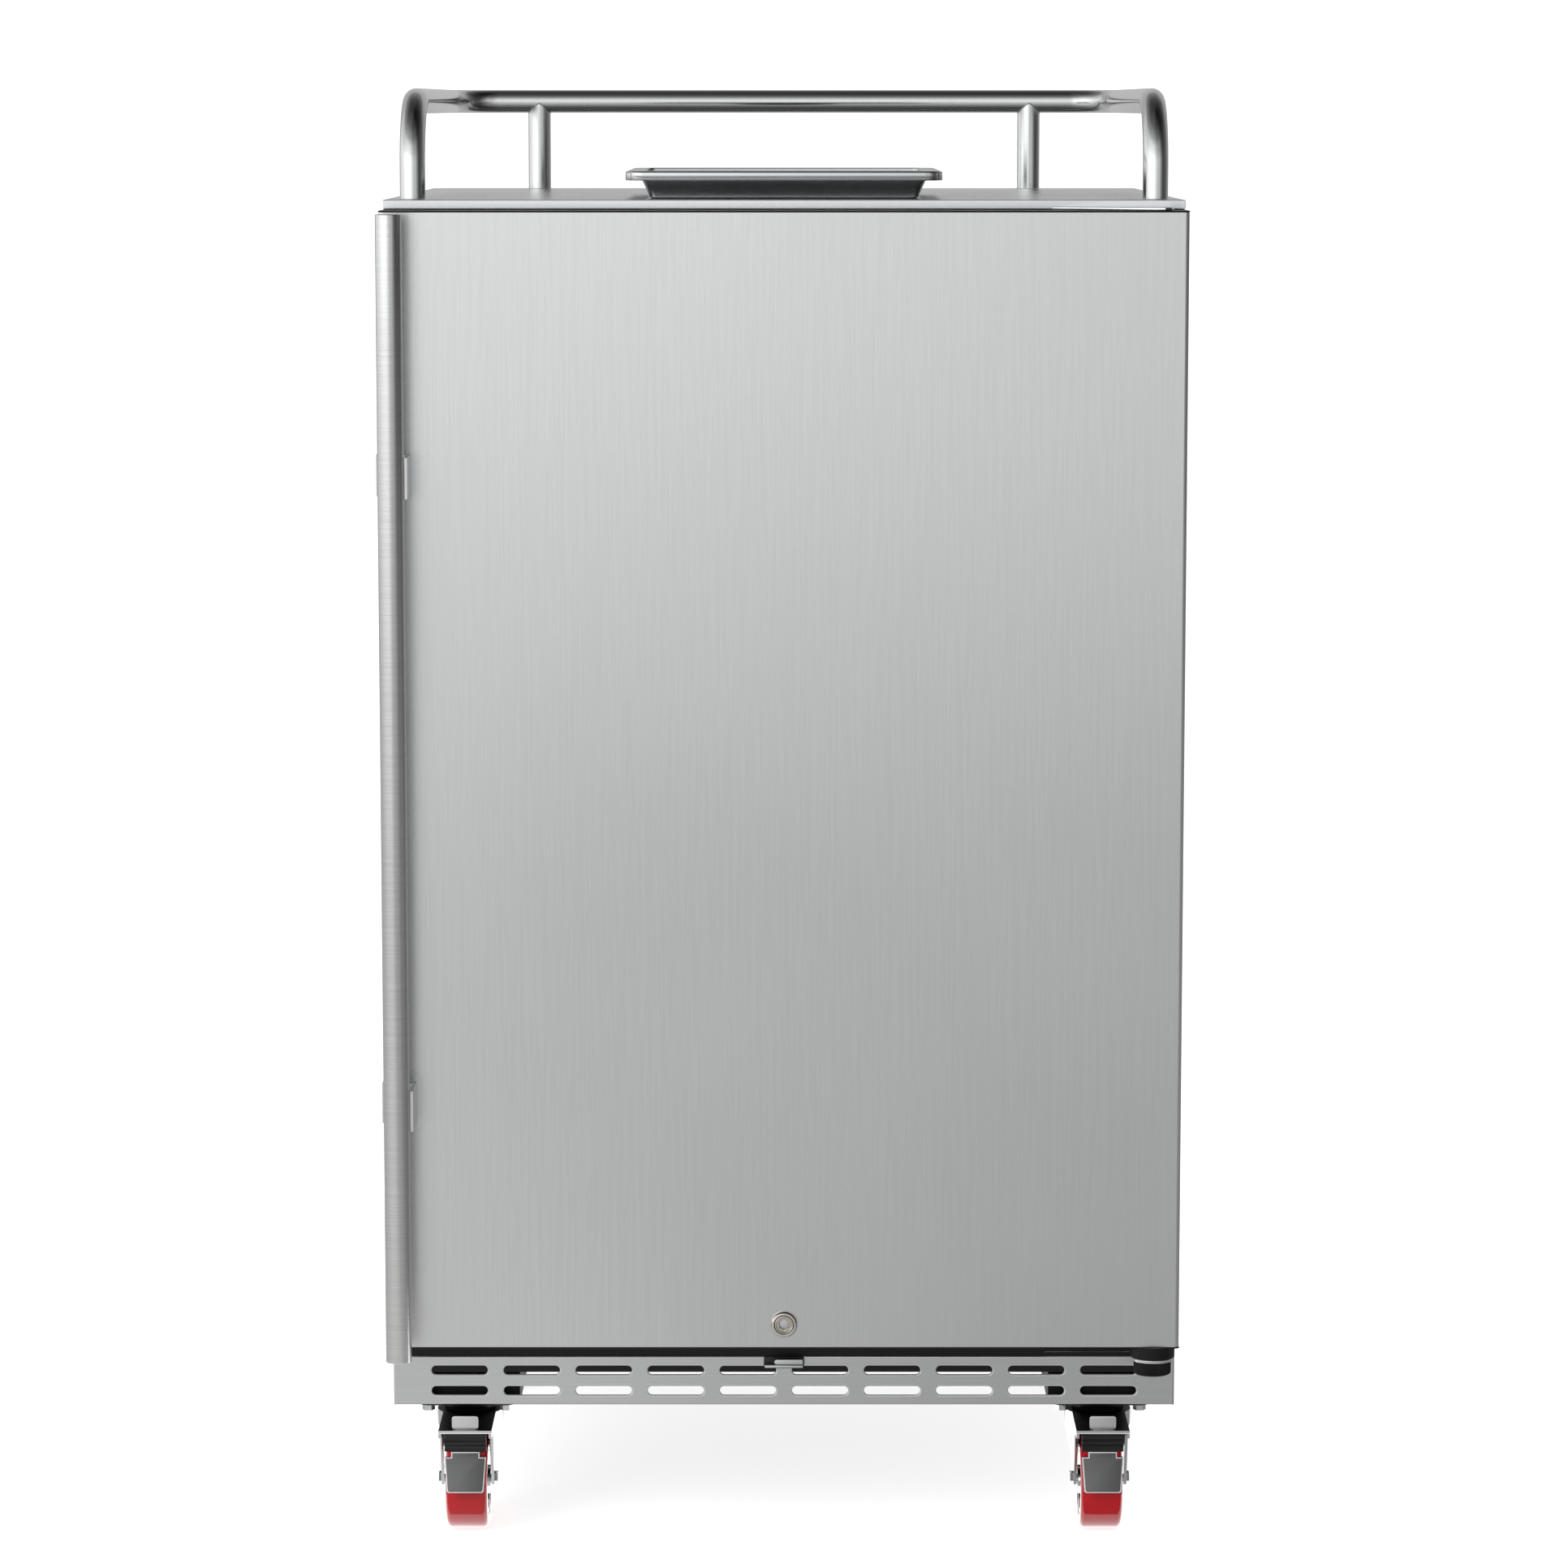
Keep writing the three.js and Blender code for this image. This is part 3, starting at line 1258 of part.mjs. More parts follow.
addSidePanels();
addBackPanel();
addFrontFrame();
addTopPanel();
addBasePan();
addInsulation();
addInnerLiner();
addKegPlatform();
addEvaporatorCover();
addEvaporatorFan();
addThermostat();
addCompressor();
addCondenser();
addMachineCover();
addPowerInlet();
addGasLineGrommet();
addTowerHoleCap();
addKickGrille();
addLockKeeper();
addHingeBrackets();
addHingeCap();
addDoorShell();
addDoorCaps();
addDoorLiner();
addDoorGasket();
addHandle();
addLock();
addGuardRail();
addDripTray();
addCasters();

export default product;
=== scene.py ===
import json
import math
import bmesh
import bpy
import numpy as np
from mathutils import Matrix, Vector


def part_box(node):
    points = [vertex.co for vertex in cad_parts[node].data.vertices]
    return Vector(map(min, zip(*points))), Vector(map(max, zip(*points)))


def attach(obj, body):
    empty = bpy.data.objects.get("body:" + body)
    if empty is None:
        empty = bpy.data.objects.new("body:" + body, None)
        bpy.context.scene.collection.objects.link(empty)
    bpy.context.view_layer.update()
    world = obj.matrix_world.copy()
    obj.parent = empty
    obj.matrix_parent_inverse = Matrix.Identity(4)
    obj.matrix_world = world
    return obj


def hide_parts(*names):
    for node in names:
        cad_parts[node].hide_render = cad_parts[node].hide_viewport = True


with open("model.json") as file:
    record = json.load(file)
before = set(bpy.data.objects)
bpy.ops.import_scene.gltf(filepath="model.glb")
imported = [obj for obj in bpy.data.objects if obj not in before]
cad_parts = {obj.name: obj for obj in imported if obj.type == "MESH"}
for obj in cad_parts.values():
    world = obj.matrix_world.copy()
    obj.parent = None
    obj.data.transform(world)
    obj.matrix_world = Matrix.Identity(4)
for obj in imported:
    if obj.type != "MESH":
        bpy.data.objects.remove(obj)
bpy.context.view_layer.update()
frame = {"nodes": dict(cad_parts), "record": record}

nodes = frame["nodes"]

# Studio.
# White product studio: a seamless white floor and sweep, one large soft box above the left shoulder
# of the camera and one above the case; the room is dark on the right and overhead, which gives the
# steel its dark edge lines.
camera_data = bpy.data.cameras.new("camera")
camera_data.lens = 120.06
camera_data.sensor_width = 36
camera_data.clip_end = 60
camera = bpy.data.objects.new("camera", camera_data)
camera_tilt = 7.3823
camera.location = (0, -4.1719, 1.0954)
camera.rotation_euler = (math.radians(90 - camera_tilt), 0, 0)
bpy.context.scene.collection.objects.link(camera)
bpy.context.scene.camera = camera
bpy.context.scene.view_settings.view_transform = "Standard"


def add_mesh(name, points, faces):
    """New mesh object from an array of points and a list of faces, placed by its own points."""
    mesh = bpy.data.meshes.new(name)
    mesh.from_pydata(np.asarray(points, float).tolist(), [], faces)
    mesh.polygons.foreach_set("use_smooth", [True] * len(mesh.polygons))
    mesh.update()
    piece = bpy.data.objects.new(name, mesh)
    bpy.context.scene.collection.objects.link(piece)
    return piece


def new_material(name):
    """Empty node material; returns the material, its node tree and its Principled shader."""
    material = bpy.data.materials.new(name)
    material.use_nodes = True
    return material, material.node_tree, material.node_tree.nodes["Principled BSDF"]


def soft_box(name, place, aim, width, height, power):
    """Area lamp at a place, turned to its aim point."""
    lamp = bpy.data.lights.new(name, "AREA")
    lamp.shape = "RECTANGLE"
    lamp.size = width
    lamp.size_y = height
    lamp.energy = power
    holder = bpy.data.objects.new(name, lamp)
    holder.location = place
    holder.rotation_euler = (Vector(aim) - Vector(place)).to_track_quat("-Z", "Y").to_euler()
    bpy.context.scene.collection.objects.link(holder)
    return holder


for lamp in (soft_box("key_box", (-2.6, -3.4, 2.5), (0, 0, 0.7), 1.8, 2.2, 60),
             soft_box("top_box", (-0.4, 0.2, 3.4), (0, 0, 1.0), 2.2, 1.6, 22)):
    lamp.visible_glossy = False


def stops(tree, value, pairs):
    """Colour ramp used as a curve: pairs of (place, level) from 0 to 1; returns its output."""
    ramp = tree.nodes.new("ShaderNodeValToRGB")
    ramp.color_ramp.interpolation = "EASE"
    points = ramp.color_ramp.elements
    while len(points) < len(pairs):
        points.new(0.5)
    for point, (place, level) in zip(points, pairs):
        point.position = place
        point.color = (level, level, level, 1)
    tree.links.new(value, ramp.inputs["Fac"])
    return ramp.outputs["Color"]


def math_node(tree, operation, first, second=None):
    """Math node whose inputs are sockets or numbers; returns its output."""
    node = tree.nodes.new("ShaderNodeMath")
    node.operation = operation
    for slot, value in enumerate((first, second)):
        if isinstance(value, (int, float)):
            node.inputs[slot].default_value = value
        elif value is not None:
            tree.links.new(value, node.inputs[slot])
    return node.outputs[0]


def mix_shaders(tree, factor, first, second):
    """Mix Shader node: first where the factor is 0, second where it is 1; returns its output."""
    node = tree.nodes.new("ShaderNodeMixShader")
    for slot, source in enumerate((factor, first, second)):
        tree.links.new(source, node.inputs[slot])
    return node.outputs[0]


def room_group():
    """Node group: how bright the room is seen along a direction. Round follows the compass angle, with
    the wide bright field in front on the left and the dark side on the right; Height follows the slope,
    bright near the horizon and dark overhead and underneath."""
    group = bpy.data.node_groups.new("room_light", "ShaderNodeTree")
    group.interface.new_socket("Vector", in_out="INPUT", socket_type="NodeSocketVector")
    for name in ("Round", "Height"):
        group.interface.new_socket(name, in_out="OUTPUT", socket_type="NodeSocketFloat")
    into, out = group.nodes.new("NodeGroupInput"), group.nodes.new("NodeGroupOutput")
    parts = group.nodes.new("ShaderNodeSeparateXYZ")
    group.links.new(into.outputs["Vector"], parts.inputs[0])
    front = math_node(group, "MULTIPLY", parts.outputs["Y"], -1)
    angle = math_node(group, "ARCTAN2", parts.outputs["X"], front)
    turn = math_node(group, "MULTIPLY_ADD", angle, 0.5 / math.pi)
    turn.node.inputs[2].default_value = 0.5
    slope = math_node(group, "MULTIPLY_ADD", parts.outputs["Z"], 0.5)
    slope.node.inputs[2].default_value = 0.5
    group.links.new(stops(group, turn, (
        (0.0, 0.62), (0.08, 0.50), (0.19, 0.60), (0.26, 0.68), (0.31, 0.84), (0.38, 1.0), (0.46, 0.92),
        (0.505, 0.58), (0.55, 0.40), (0.59, 0.38), (0.635, 0.15), (0.68, 0.04), (0.73, 0.05), (0.79, 0.09),
        (0.87, 0.24), (0.94, 0.48), (1.0, 0.62))), out.inputs["Round"])
    group.links.new(stops(group, slope, (
        (0.0, 0.08), (0.15, 0.16), (0.325, 0.45), (0.5, 0.95), (0.57, 1.0), (0.735, 0.62), (0.85, 0.22),
        (0.95, 0.07), (1.0, 0.04))), out.inputs["Height"])
    return group


# The room: white to the camera, even for soft light, and shaped by the group for all that mirrors it.
room_light = room_group()
room_strength, even_strength = 1.92, 0.6
world = bpy.data.worlds.new("studio")
bpy.context.scene.world = world
world.use_nodes = True
world_nodes, world_links = world.node_tree.nodes, world.node_tree.links
world_nodes.clear()
world_place = world_nodes.new("ShaderNodeTexCoord")
world_room = world_nodes.new("ShaderNodeGroup")
world_room.node_tree = room_light
world_links.new(world_place.outputs["Generated"], world_room.inputs["Vector"])
mirrored = world_nodes.new("ShaderNodeBackground")
mirrored.inputs["Color"].default_value = (0.985, 0.995, 1.0, 1)
world_links.new(math_node(
    world.node_tree, "MULTIPLY", room_strength,
    math_node(world.node_tree, "MULTIPLY", world_room.outputs["Round"], world_room.outputs["Height"])),
    mirrored.inputs["Strength"])
even = world_nodes.new("ShaderNodeBackground")
even.inputs["Strength"].default_value = even_strength
seen = world_nodes.new("ShaderNodeBackground")
seen.inputs["Color"].default_value = (1, 1, 1, 1)
world_rays = world_nodes.new("ShaderNodeLightPath").outputs
world_out = world_nodes.new("ShaderNodeOutputWorld")
world_links.new(mix_shaders(
    world.node_tree, world_rays["Is Camera Ray"],
    mix_shaders(world.node_tree, world_rays["Is Glossy Ray"], even.outputs[0], mirrored.outputs[0]),
    seen.outputs[0]), world_out.inputs["Surface"])

# The floor: plain and pale, lifted to white for the camera by a glow of its own. In mirrors it is darker to
# the right and has a bright field under the machine, card_side to each side, from card_front to card_back.
camera_glow, floor_dark, floor_lift, card_strength = 0.80, 0.27, 0.48, 1.5
card_side, card_front, card_back = 0.36, -0.244, 0.12
floor_material, floor_tree, floor_shader = new_material("studio_floor")
floor_nodes, floor_links = floor_tree.nodes, floor_tree.links
floor_shader.inputs["Base Color"].default_value = (0.86, 0.86, 0.86, 1)
floor_shader.inputs["Roughness"].default_value = 0.55
floor_shader.inputs["Specular IOR Level"].default_value = 0.25
floor_glow = floor_nodes.new("ShaderNodeEmission")
floor_glow.inputs["Strength"].default_value = camera_glow
floor_sum = floor_nodes.new("ShaderNodeAddShader")
floor_rays = floor_nodes.new("ShaderNodeLightPath").outputs
floor_place = floor_nodes.new("ShaderNodeTexCoord")
floor_room = floor_nodes.new("ShaderNodeGroup")
floor_room.node_tree = room_light
floor_links.new(floor_place.outputs["Object"], floor_room.inputs["Vector"])
floor_split = floor_nodes.new("ShaderNodeSeparateXYZ")
floor_links.new(floor_place.outputs["Object"], floor_split.inputs[0])
card_ends = math_node(
    floor_tree, "MULTIPLY",
    math_node(floor_tree, "GREATER_THAN", floor_split.outputs["Y"], card_front),
    math_node(floor_tree, "LESS_THAN", floor_split.outputs["Y"], card_back))
card = math_node(
    floor_tree, "MULTIPLY", card_ends,
    math_node(floor_tree, "LESS_THAN",
              math_node(floor_tree, "ABSOLUTE", floor_split.outputs["X"]), card_side))
floor_mirrored = floor_nodes.new("ShaderNodeEmission")
floor_links.new(math_node(
    floor_tree, "ADD",
    math_node(floor_tree, "ADD", floor_dark,
              math_node(floor_tree, "MULTIPLY", floor_room.outputs["Round"], floor_lift)),
    math_node(floor_tree, "MULTIPLY", card, card_strength)), floor_mirrored.inputs["Strength"])
floor_links.new(floor_shader.outputs[0], floor_sum.inputs[0])
floor_links.new(floor_glow.outputs[0], floor_sum.inputs[1])
floor_links.new(mix_shaders(
    floor_tree, floor_rays["Is Camera Ray"],
    mix_shaders(floor_tree, floor_rays["Is Glossy Ray"],
                floor_shader.outputs[0], floor_mirrored.outputs[0]),
    floor_sum.outputs[0]), floor_nodes["Material Output"].inputs["Surface"])

# The sweep: flat back to sweep_flat, then a quarter circle of sweep_radius and an upright wall.
sweep_side, sweep_flat, sweep_radius, sweep_top = 9, 6, 2, 7.0
sweep_turn = np.linspace(0, 1, 25) * math.pi / 2
sweep_y = np.concatenate([
    [-sweep_side], sweep_flat + sweep_radius * np.sin(sweep_turn), [sweep_flat + sweep_radius]])
sweep_z = np.concatenate([[0.0], sweep_radius - sweep_radius * np.cos(sweep_turn), [sweep_top]])
sweep_points = np.array([
    (x, y, z) for x in (-sweep_side, sweep_side) for y, z in zip(sweep_y, sweep_z)])
sweep_count = len(sweep_y)
studio_floor = add_mesh(
    "studio_floor", sweep_points,
    [(i, sweep_count + i, sweep_count + i + 1, i + 1) for i in range(sweep_count - 1)])
studio_floor.data.materials.append(floor_material)

# Case sheets.
# The cabinet is a box of one millimetre brushed stainless sheet: two sides, a folded top and a zinc
# coated back, hooked together round the foam body and held with hidden screws.
body_of_node = {
    node: body for body, names in frame["record"]["behaviour"]["bodies"].items() for node in names}


def streak_group():
    """Node group: fine drawn lines and slow cloudy change along a stretched vector, both from noise."""
    group = bpy.data.node_groups.new("drawn_lines", "ShaderNodeTree")
    group.interface.new_socket("Vector", in_out="INPUT", socket_type="NodeSocketVector")
    group.interface.new_socket("Cloud Vector", in_out="INPUT", socket_type="NodeSocketVector")
    for name in ("Lines", "Fine", "Cloud"):
        group.interface.new_socket(name, in_out="OUTPUT", socket_type="NodeSocketFloat")
    into, out = group.nodes.new("NodeGroupInput"), group.nodes.new("NodeGroupOutput")
    for name, scale, detail, source in (
            ("Lines", 1.0, 3.0, "Vector"), ("Fine", 3.7, 2.0, "Vector"), ("Cloud", 1.0, 2.0, "Cloud Vector")):
        noise = group.nodes.new("ShaderNodeTexNoise")
        noise.inputs["Scale"].default_value = scale
        noise.inputs["Detail"].default_value = detail
        noise.inputs["Roughness"].default_value = 0.6
        group.links.new(into.outputs[source], noise.inputs["Vector"])
        group.links.new(noise.outputs["Fac"], out.inputs[name])
    return group


drawn_lines = streak_group()


def span(tree, source, low, high):
    """Map Range node: noise from its usual 0.3 to 0.7 onto low to high; returns its output."""
    node = tree.nodes.new("ShaderNodeMapRange")
    for entry, value in (("From Min", 0.3), ("From Max", 0.7), ("To Min", low), ("To Max", high)):
        node.inputs[entry].default_value = value
    tree.links.new(source, node.inputs["Value"])
    return node.outputs["Result"]


def between(tree, source, first, second):
    """Mix of two colours by a value; returns the colour output."""
    node = tree.nodes.new("ShaderNodeMix")
    node.data_type = "RGBA"
    node.inputs["A"].default_value = (*first, 1)
    node.inputs["B"].default_value = (*second, 1)
    tree.links.new(source, node.inputs["Factor"])
    return node.outputs["Result"]


def grained(name, tone, contrast, stretch, cloud, rough_span, depth, distance, reads):
    """Material from the drawn lines group: reads names the outputs that shape its colour, roughness and
    height; stretch and cloud are the noise scales of the lines and of the slow change."""
    material, tree, shader = new_material(name)
    links = tree.links
    place = tree.nodes.new("ShaderNodeTexCoord")
    lines = tree.nodes.new("ShaderNodeGroup")
    lines.node_tree = drawn_lines
    for entry, scale in (("Vector", stretch), ("Cloud Vector", cloud)):
        mapping = tree.nodes.new("ShaderNodeMapping")
        mapping.inputs["Scale"].default_value = scale
        links.new(place.outputs["Object"], mapping.inputs["Vector"])
        links.new(mapping.outputs["Vector"], lines.inputs[entry])
    colour_from, rough_from, height_from = (lines.outputs[output] for output in reads)
    low = [c * (1 - contrast) for c in tone]
    high = [min(c * (1 + contrast), 1) for c in tone]
    links.new(between(tree, span(tree, colour_from, 0, 1), low, high), shader.inputs["Base Color"])
    links.new(span(tree, rough_from, *rough_span), shader.inputs["Roughness"])
    bump = tree.nodes.new("ShaderNodeBump")
    bump.inputs["Strength"].default_value = depth
    bump.inputs["Distance"].default_value = distance
    links.new(height_from, bump.inputs["Height"])
    links.new(bump.outputs["Normal"], shader.inputs["Normal"])
    return material, shader


def brushed_steel(name, tone, stretch, rough=0.3, depth=0.06, contrast=0.06):
    """Steel drawn along one direction: stretch is the line count per metre along X, Y and Z."""
    material, shader = grained(name, tone, contrast, stretch, (2.5, 2.5, 2.5), (rough * 0.88, rough * 1.14),
                               depth, 0.0004, ("Lines", "Cloud", "Fine"))
    shader.inputs["Metallic"].default_value = 1.0
    return material


def moulded(name, tone, rough, grain=900.0, depth=0.08, contrast=0.1, coat=0.0, metal=0.0):
    """Moulded, cast or coated surface: a fine even grain in height and roughness."""
    material, shader = grained(name, tone, contrast, (grain, grain, grain), (9, 9, 9),
                               (rough * 0.9, rough * 1.12), depth, 0.0003, ("Cloud", "Lines", "Lines"))
    shader.inputs["Metallic"].default_value = metal
    shader.inputs["Coat Weight"].default_value = coat
    return material


def finish_edges(piece, material, edge, steps=2, angle=32):
    """Gives a piece its material, smooth shading up to an angle and a small rolled edge."""
    mesh = piece.data
    mesh.materials.clear()
    mesh.materials.append(material)
    mesh.polygons.foreach_set("use_smooth", [True] * len(mesh.polygons))
    mesh.set_sharp_from_angle(angle=math.radians(angle))
    if edge:
        roll = piece.modifiers.new("rolled_edge", "BEVEL")
        roll.width = edge
        roll.segments = steps
        roll.limit_method = "ANGLE"
        roll.angle_limit = math.radians(angle)
        roll.use_clamp_overlap = True
        roll.harden_normals = True


merge_distance = 2e-6


def finer_copy(node, material, edge, steps=2):
    """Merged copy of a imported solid, with flat faces joined and its edges rolled; stands for the node."""
    mesh = nodes[node].data.copy()
    build = bmesh.new()
    build.from_mesh(mesh)
    bmesh.ops.remove_doubles(build, verts=build.verts, dist=merge_distance)
    bmesh.ops.dissolve_limit(build, angle_limit=math.radians(0.6), verts=build.verts, edges=build.edges)
    build.to_mesh(mesh)
    build.free()
    piece = bpy.data.objects.new(node + "_finished", mesh)
    bpy.context.scene.collection.objects.link(piece)
    finish_edges(piece, material, edge, steps)
    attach(piece, body_of_node[node])
    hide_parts(node)
    return piece


def paint(node, material):
    """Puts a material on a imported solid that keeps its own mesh."""
    nodes[node].material_slots[0].material = material


side_steel = brushed_steel("side_steel", (0.60, 0.605, 0.615), (600, 600, 3), rough=0.32)
top_steel = brushed_steel("top_steel", (0.74, 0.745, 0.75), (5, 900, 900), rough=0.25, depth=0.03,
                          contrast=0.03)
zinc_sheet = moulded("zinc_sheet", (0.62, 0.63, 0.65), 0.38, grain=160, depth=0.03, metal=1.0)
for name in ("side_panel_left", "side_panel_right"):
    finer_copy(name, side_steel, 0.0003)
finer_copy("top_panel", top_steel, 0.0009, 3)
for name in ("back_panel", "machine_cover"):
    paint(name, zinc_sheet)

# Body behind the door.
# Black coated steel face ring, foamed body, white vacuum formed liner and the fittings inside it.
black_coat = moulded("black_coat", (0.012, 0.012, 0.013), 0.42, grain=700, depth=0.05)
black_mould = moulded("black_mould", (0.008, 0.008, 0.009), 0.46, grain=1100, depth=0.1)
for material in (black_coat, black_mould):
    material.node_tree.nodes["Principled BSDF"].inputs["Specular IOR Level"].default_value = 0.22
foam_fill = moulded("foam_fill", (0.72, 0.62, 0.33), 0.9, grain=420, depth=0.5, contrast=0.16)
white_form = moulded("white_form", (0.78, 0.79, 0.78), 0.3, grain=300, depth=0.03, contrast=0.03)
grey_mould = moulded("grey_mould", (0.26, 0.27, 0.28), 0.42, grain=900, depth=0.06)
soft_rubber = moulded("soft_rubber", (0.014, 0.014, 0.014), 0.75, grain=600, depth=0.12)
gasket_vinyl = moulded("gasket_vinyl", (0.13, 0.135, 0.14), 0.6, grain=500, depth=0.08)
fin_metal = moulded("fin_metal", (0.58, 0.59, 0.6), 0.4, grain=200, depth=0.05, metal=1.0)
platform_steel = brushed_steel("platform_steel", (0.58, 0.58, 0.59), (3, 500, 500), rough=0.36)
for name, material in (
        ("front_frame", black_coat), ("base_pan", black_coat), ("insulation", foam_fill),
        ("inner_liner", white_form), ("compressor", black_coat), ("condenser", fin_metal),
        ("gas_line_grommet", soft_rubber), ("door_core", foam_fill)):
    paint(name, material)
for name, material, edge, steps in (
        ("keg_platform", platform_steel, 0.0006, 2), ("evaporator_cover", white_form, 0.0008, 2),
        ("evaporator_fan", black_mould, 0.0004, 2), ("thermostat_housing", grey_mould, 0.001, 3),
        ("thermostat_knob", black_mould, 0.0008, 3), ("tower_hole_cap", black_mould, 0.0006, 3),
        ("power_inlet", black_mould, 0.0006, 2), ("door_gasket", gasket_vinyl, 0.0015, 3),
        ("door_liner", white_form, 0.003, 4)):
    finer_copy(name, material, edge, steps)

# Guard rail.
# One length of nineteen millimetre stainless tube bent round the top, with two posts welded under its
# rear bar. The tube is polished, so it shows a bright band between dark edges.
rail_steel = brushed_steel("rail_steel", (0.66, 0.66, 0.66), (260, 260, 260), rough=0.16, depth=0.003,
                           contrast=0.02)


def bend(centre, start, quarter, steps=14):
    """Quarter circle of path points from start round centre, ending along the quarter direction."""
    centre, start, quarter = (np.asarray(v, float) for v in (centre, start, quarter))
    angle = np.linspace(0, math.pi / 2, steps)[:, None]
    return centre + (start - centre) * np.cos(angle) + quarter * np.sin(angle)


def ring_faces(rows, sides, capped=True):
    """Faces over rows of points that go round: a quad from each pair to the same pair of the next row,
    and a flat face on each end."""
    row = np.arange(rows - 1)[:, None] * sides
    i = np.arange(sides)[None, :]
    j = (i + 1) % sides
    faces = np.stack([row + i, row + j, row + sides + j, row + sides + i], -1).reshape(-1, 4).tolist()
    if capped:
        faces += [range(sides - 1, -1, -1), range((rows - 1) * sides, rows * sides)]
    return faces


def gather(parts):
    """Joins several (points, faces) pairs into one."""
    points, faces, count = [], [], 0
    for part_points, part_faces in parts:
        points.append(part_points)
        faces += [[i + count for i in face] for face in part_faces]
        count += len(part_points)
    return np.vstack(points), faces


def tube_surface(path, radius, sides=48):
    """Round tube: at each path point a circle in the plane square to the path, its first direction X and
    then carried on from ring to ring without twist. Returns points and faces with flat ends."""
    path = np.asarray(path, float)
    step = np.diff(path, axis=0)
    step /= np.linalg.norm(step, axis=1)[:, None]
    along = np.vstack([step[:1], step[:-1] + step[1:], step[-1:]])
    along /= np.linalg.norm(along, axis=1)[:, None]
    side = np.zeros_like(path)
    side[0] = (1, 0, 0)
    for i in range(1, len(path)):
        side[i] = side[i - 1] - along[i] * np.dot(side[i - 1], along[i])
        side[i] /= np.linalg.norm(side[i])
    other = np.cross(along, side)
    turn = np.linspace(0, 2 * math.pi, sides, endpoint=False)
    rings = (path[:, None] + radius * (np.cos(turn)[None, :, None] * side[:, None]
                                       + np.sin(turn)[None, :, None] * other[:, None]))
    return rings.reshape(-1, 3), ring_faces(len(path), sides)


rail_low, rail_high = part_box("guard_rail")
rail_radius, post_radius, post_gap = 0.00965, 0.0095, 0.0015
post_places = (-0.207, 0.207)
rail_x = rail_high[0] - rail_radius
rail_z = 1.0996
rail_foot = rail_low[2]
rail_front = rail_low[1] + rail_radius
rail_back = rail_high[1] - rail_radius
front_bend, rear_bend = 0.050, 0.038


def rail_half(side):
    """Path of one half of the rail, from its foot to the middle of the rear bar."""
    x = side * rail_x
    return np.vstack([
        [(x, rail_front, rail_foot)],
        bend((x, rail_front + front_bend, rail_z - front_bend), (x, rail_front, rail_z - front_bend),
             (0, 0, front_bend)),
        bend((x - side * rear_bend, rail_back - rear_bend, rail_z), (x, rail_back - rear_bend, rail_z),
             (0, rear_bend, 0)),
    ])


guard_rail = add_mesh("guard_rail_tube", *gather([
    tube_surface(np.vstack([rail_half(-1), rail_half(1)[::-1]]), rail_radius),
    *(tube_surface([(x, rail_back, rail_foot), (x, rail_back, rail_z - post_gap)], post_radius)
      for x in post_places)]))
finish_edges(guard_rail, rail_steel, 0)
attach(guard_rail, "cabinet")
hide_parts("guard_rail")

# Thin weld beads where the posts run into the bar; the feet stand on the top sheet, bolted from below.
bead_radius = 0.0005
weld_tone = moulded("weld_bead", (0.5, 0.5, 0.51), 0.3, grain=500, depth=0.2, metal=1.0)


def saddle_bead(centre, sides=72, around_sides=8):
    """Small torus about Z on the line where an upright post meets a bar along X: at each angle it lies
    under the bar's axis by the root of bar radius squared less the crosswise distance squared."""
    turn = np.linspace(0, 2 * math.pi, sides, endpoint=False)
    drop = -np.sqrt(rail_radius ** 2 - (post_radius * np.sin(turn)) ** 2)
    around = np.linspace(0, 2 * math.pi, around_sides, endpoint=False)
    reach = post_radius + bead_radius * np.cos(around)[None, :]
    x = centre[0] + reach * np.cos(turn)[:, None]
    y = centre[1] + reach * np.sin(turn)[:, None]
    z = centre[2] + drop[:, None] + bead_radius * np.sin(around)[None, :]
    points = np.stack([x, y, z], -1).reshape(-1, 3)
    i = np.arange(sides)[:, None] * around_sides
    j = ((np.arange(sides) + 1) % sides)[:, None] * around_sides
    k = np.arange(around_sides)[None, :]
    m = (k + 1) % around_sides
    return points, np.stack([i + k, j + k, j + m, i + m], -1).reshape(-1, 4).tolist()


rail_beads = add_mesh("guard_rail_welds", *gather(
    [saddle_bead((x, rail_back, rail_z)) for x in post_places]))
finish_edges(rail_beads, weld_tone, 0)
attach(rail_beads, "cabinet")

# Drip tray and grate.
# Square tray pressed from thin stainless sheet with sloped walls, a folded rim and an inner ledge;
# a punched plate of slots lies loose on the ledge.
tray_steel = brushed_steel("tray_steel", (0.63, 0.635, 0.64), (4, 500, 500), rough=0.2, depth=0.03)
grate_steel = brushed_steel("grate_steel", (0.62, 0.62, 0.63), (4, 600, 600), rough=0.24, depth=0.04)


def middle_and_half(node):
    """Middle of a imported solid's box and half its size, each along X, Y and Z."""
    low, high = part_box(node)
    return [(a + b) / 2 for a, b in zip(low, high)], [(b - a) / 2 for a, b in zip(low, high)]


tray_centre, (tray_half, _, _) = middle_and_half("drip_tray")
tray_base, tray_corner, tray_least_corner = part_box("drip_tray")[0][2], 0.014, 0.005


def square_ring(half, corner, z, steps=8):
    """Rounded square at one height about the tray's middle: four quarter circles whose ends the
    straight sides join."""
    angle = np.linspace(0, math.pi / 2, steps + 1)
    parts = []
    for quarter, (sx, sy) in enumerate(((1, -1), (1, 1), (-1, 1), (-1, -1))):
        start = -math.pi / 2 + quarter * math.pi / 2
        parts.append(np.stack([
            tray_centre[0] + sx * (half - corner) + corner * np.cos(start + angle),
            tray_centre[1] + sy * (half - corner) + corner * np.sin(start + angle),
            np.full(steps + 1, z)], -1))
    return np.vstack(parts)


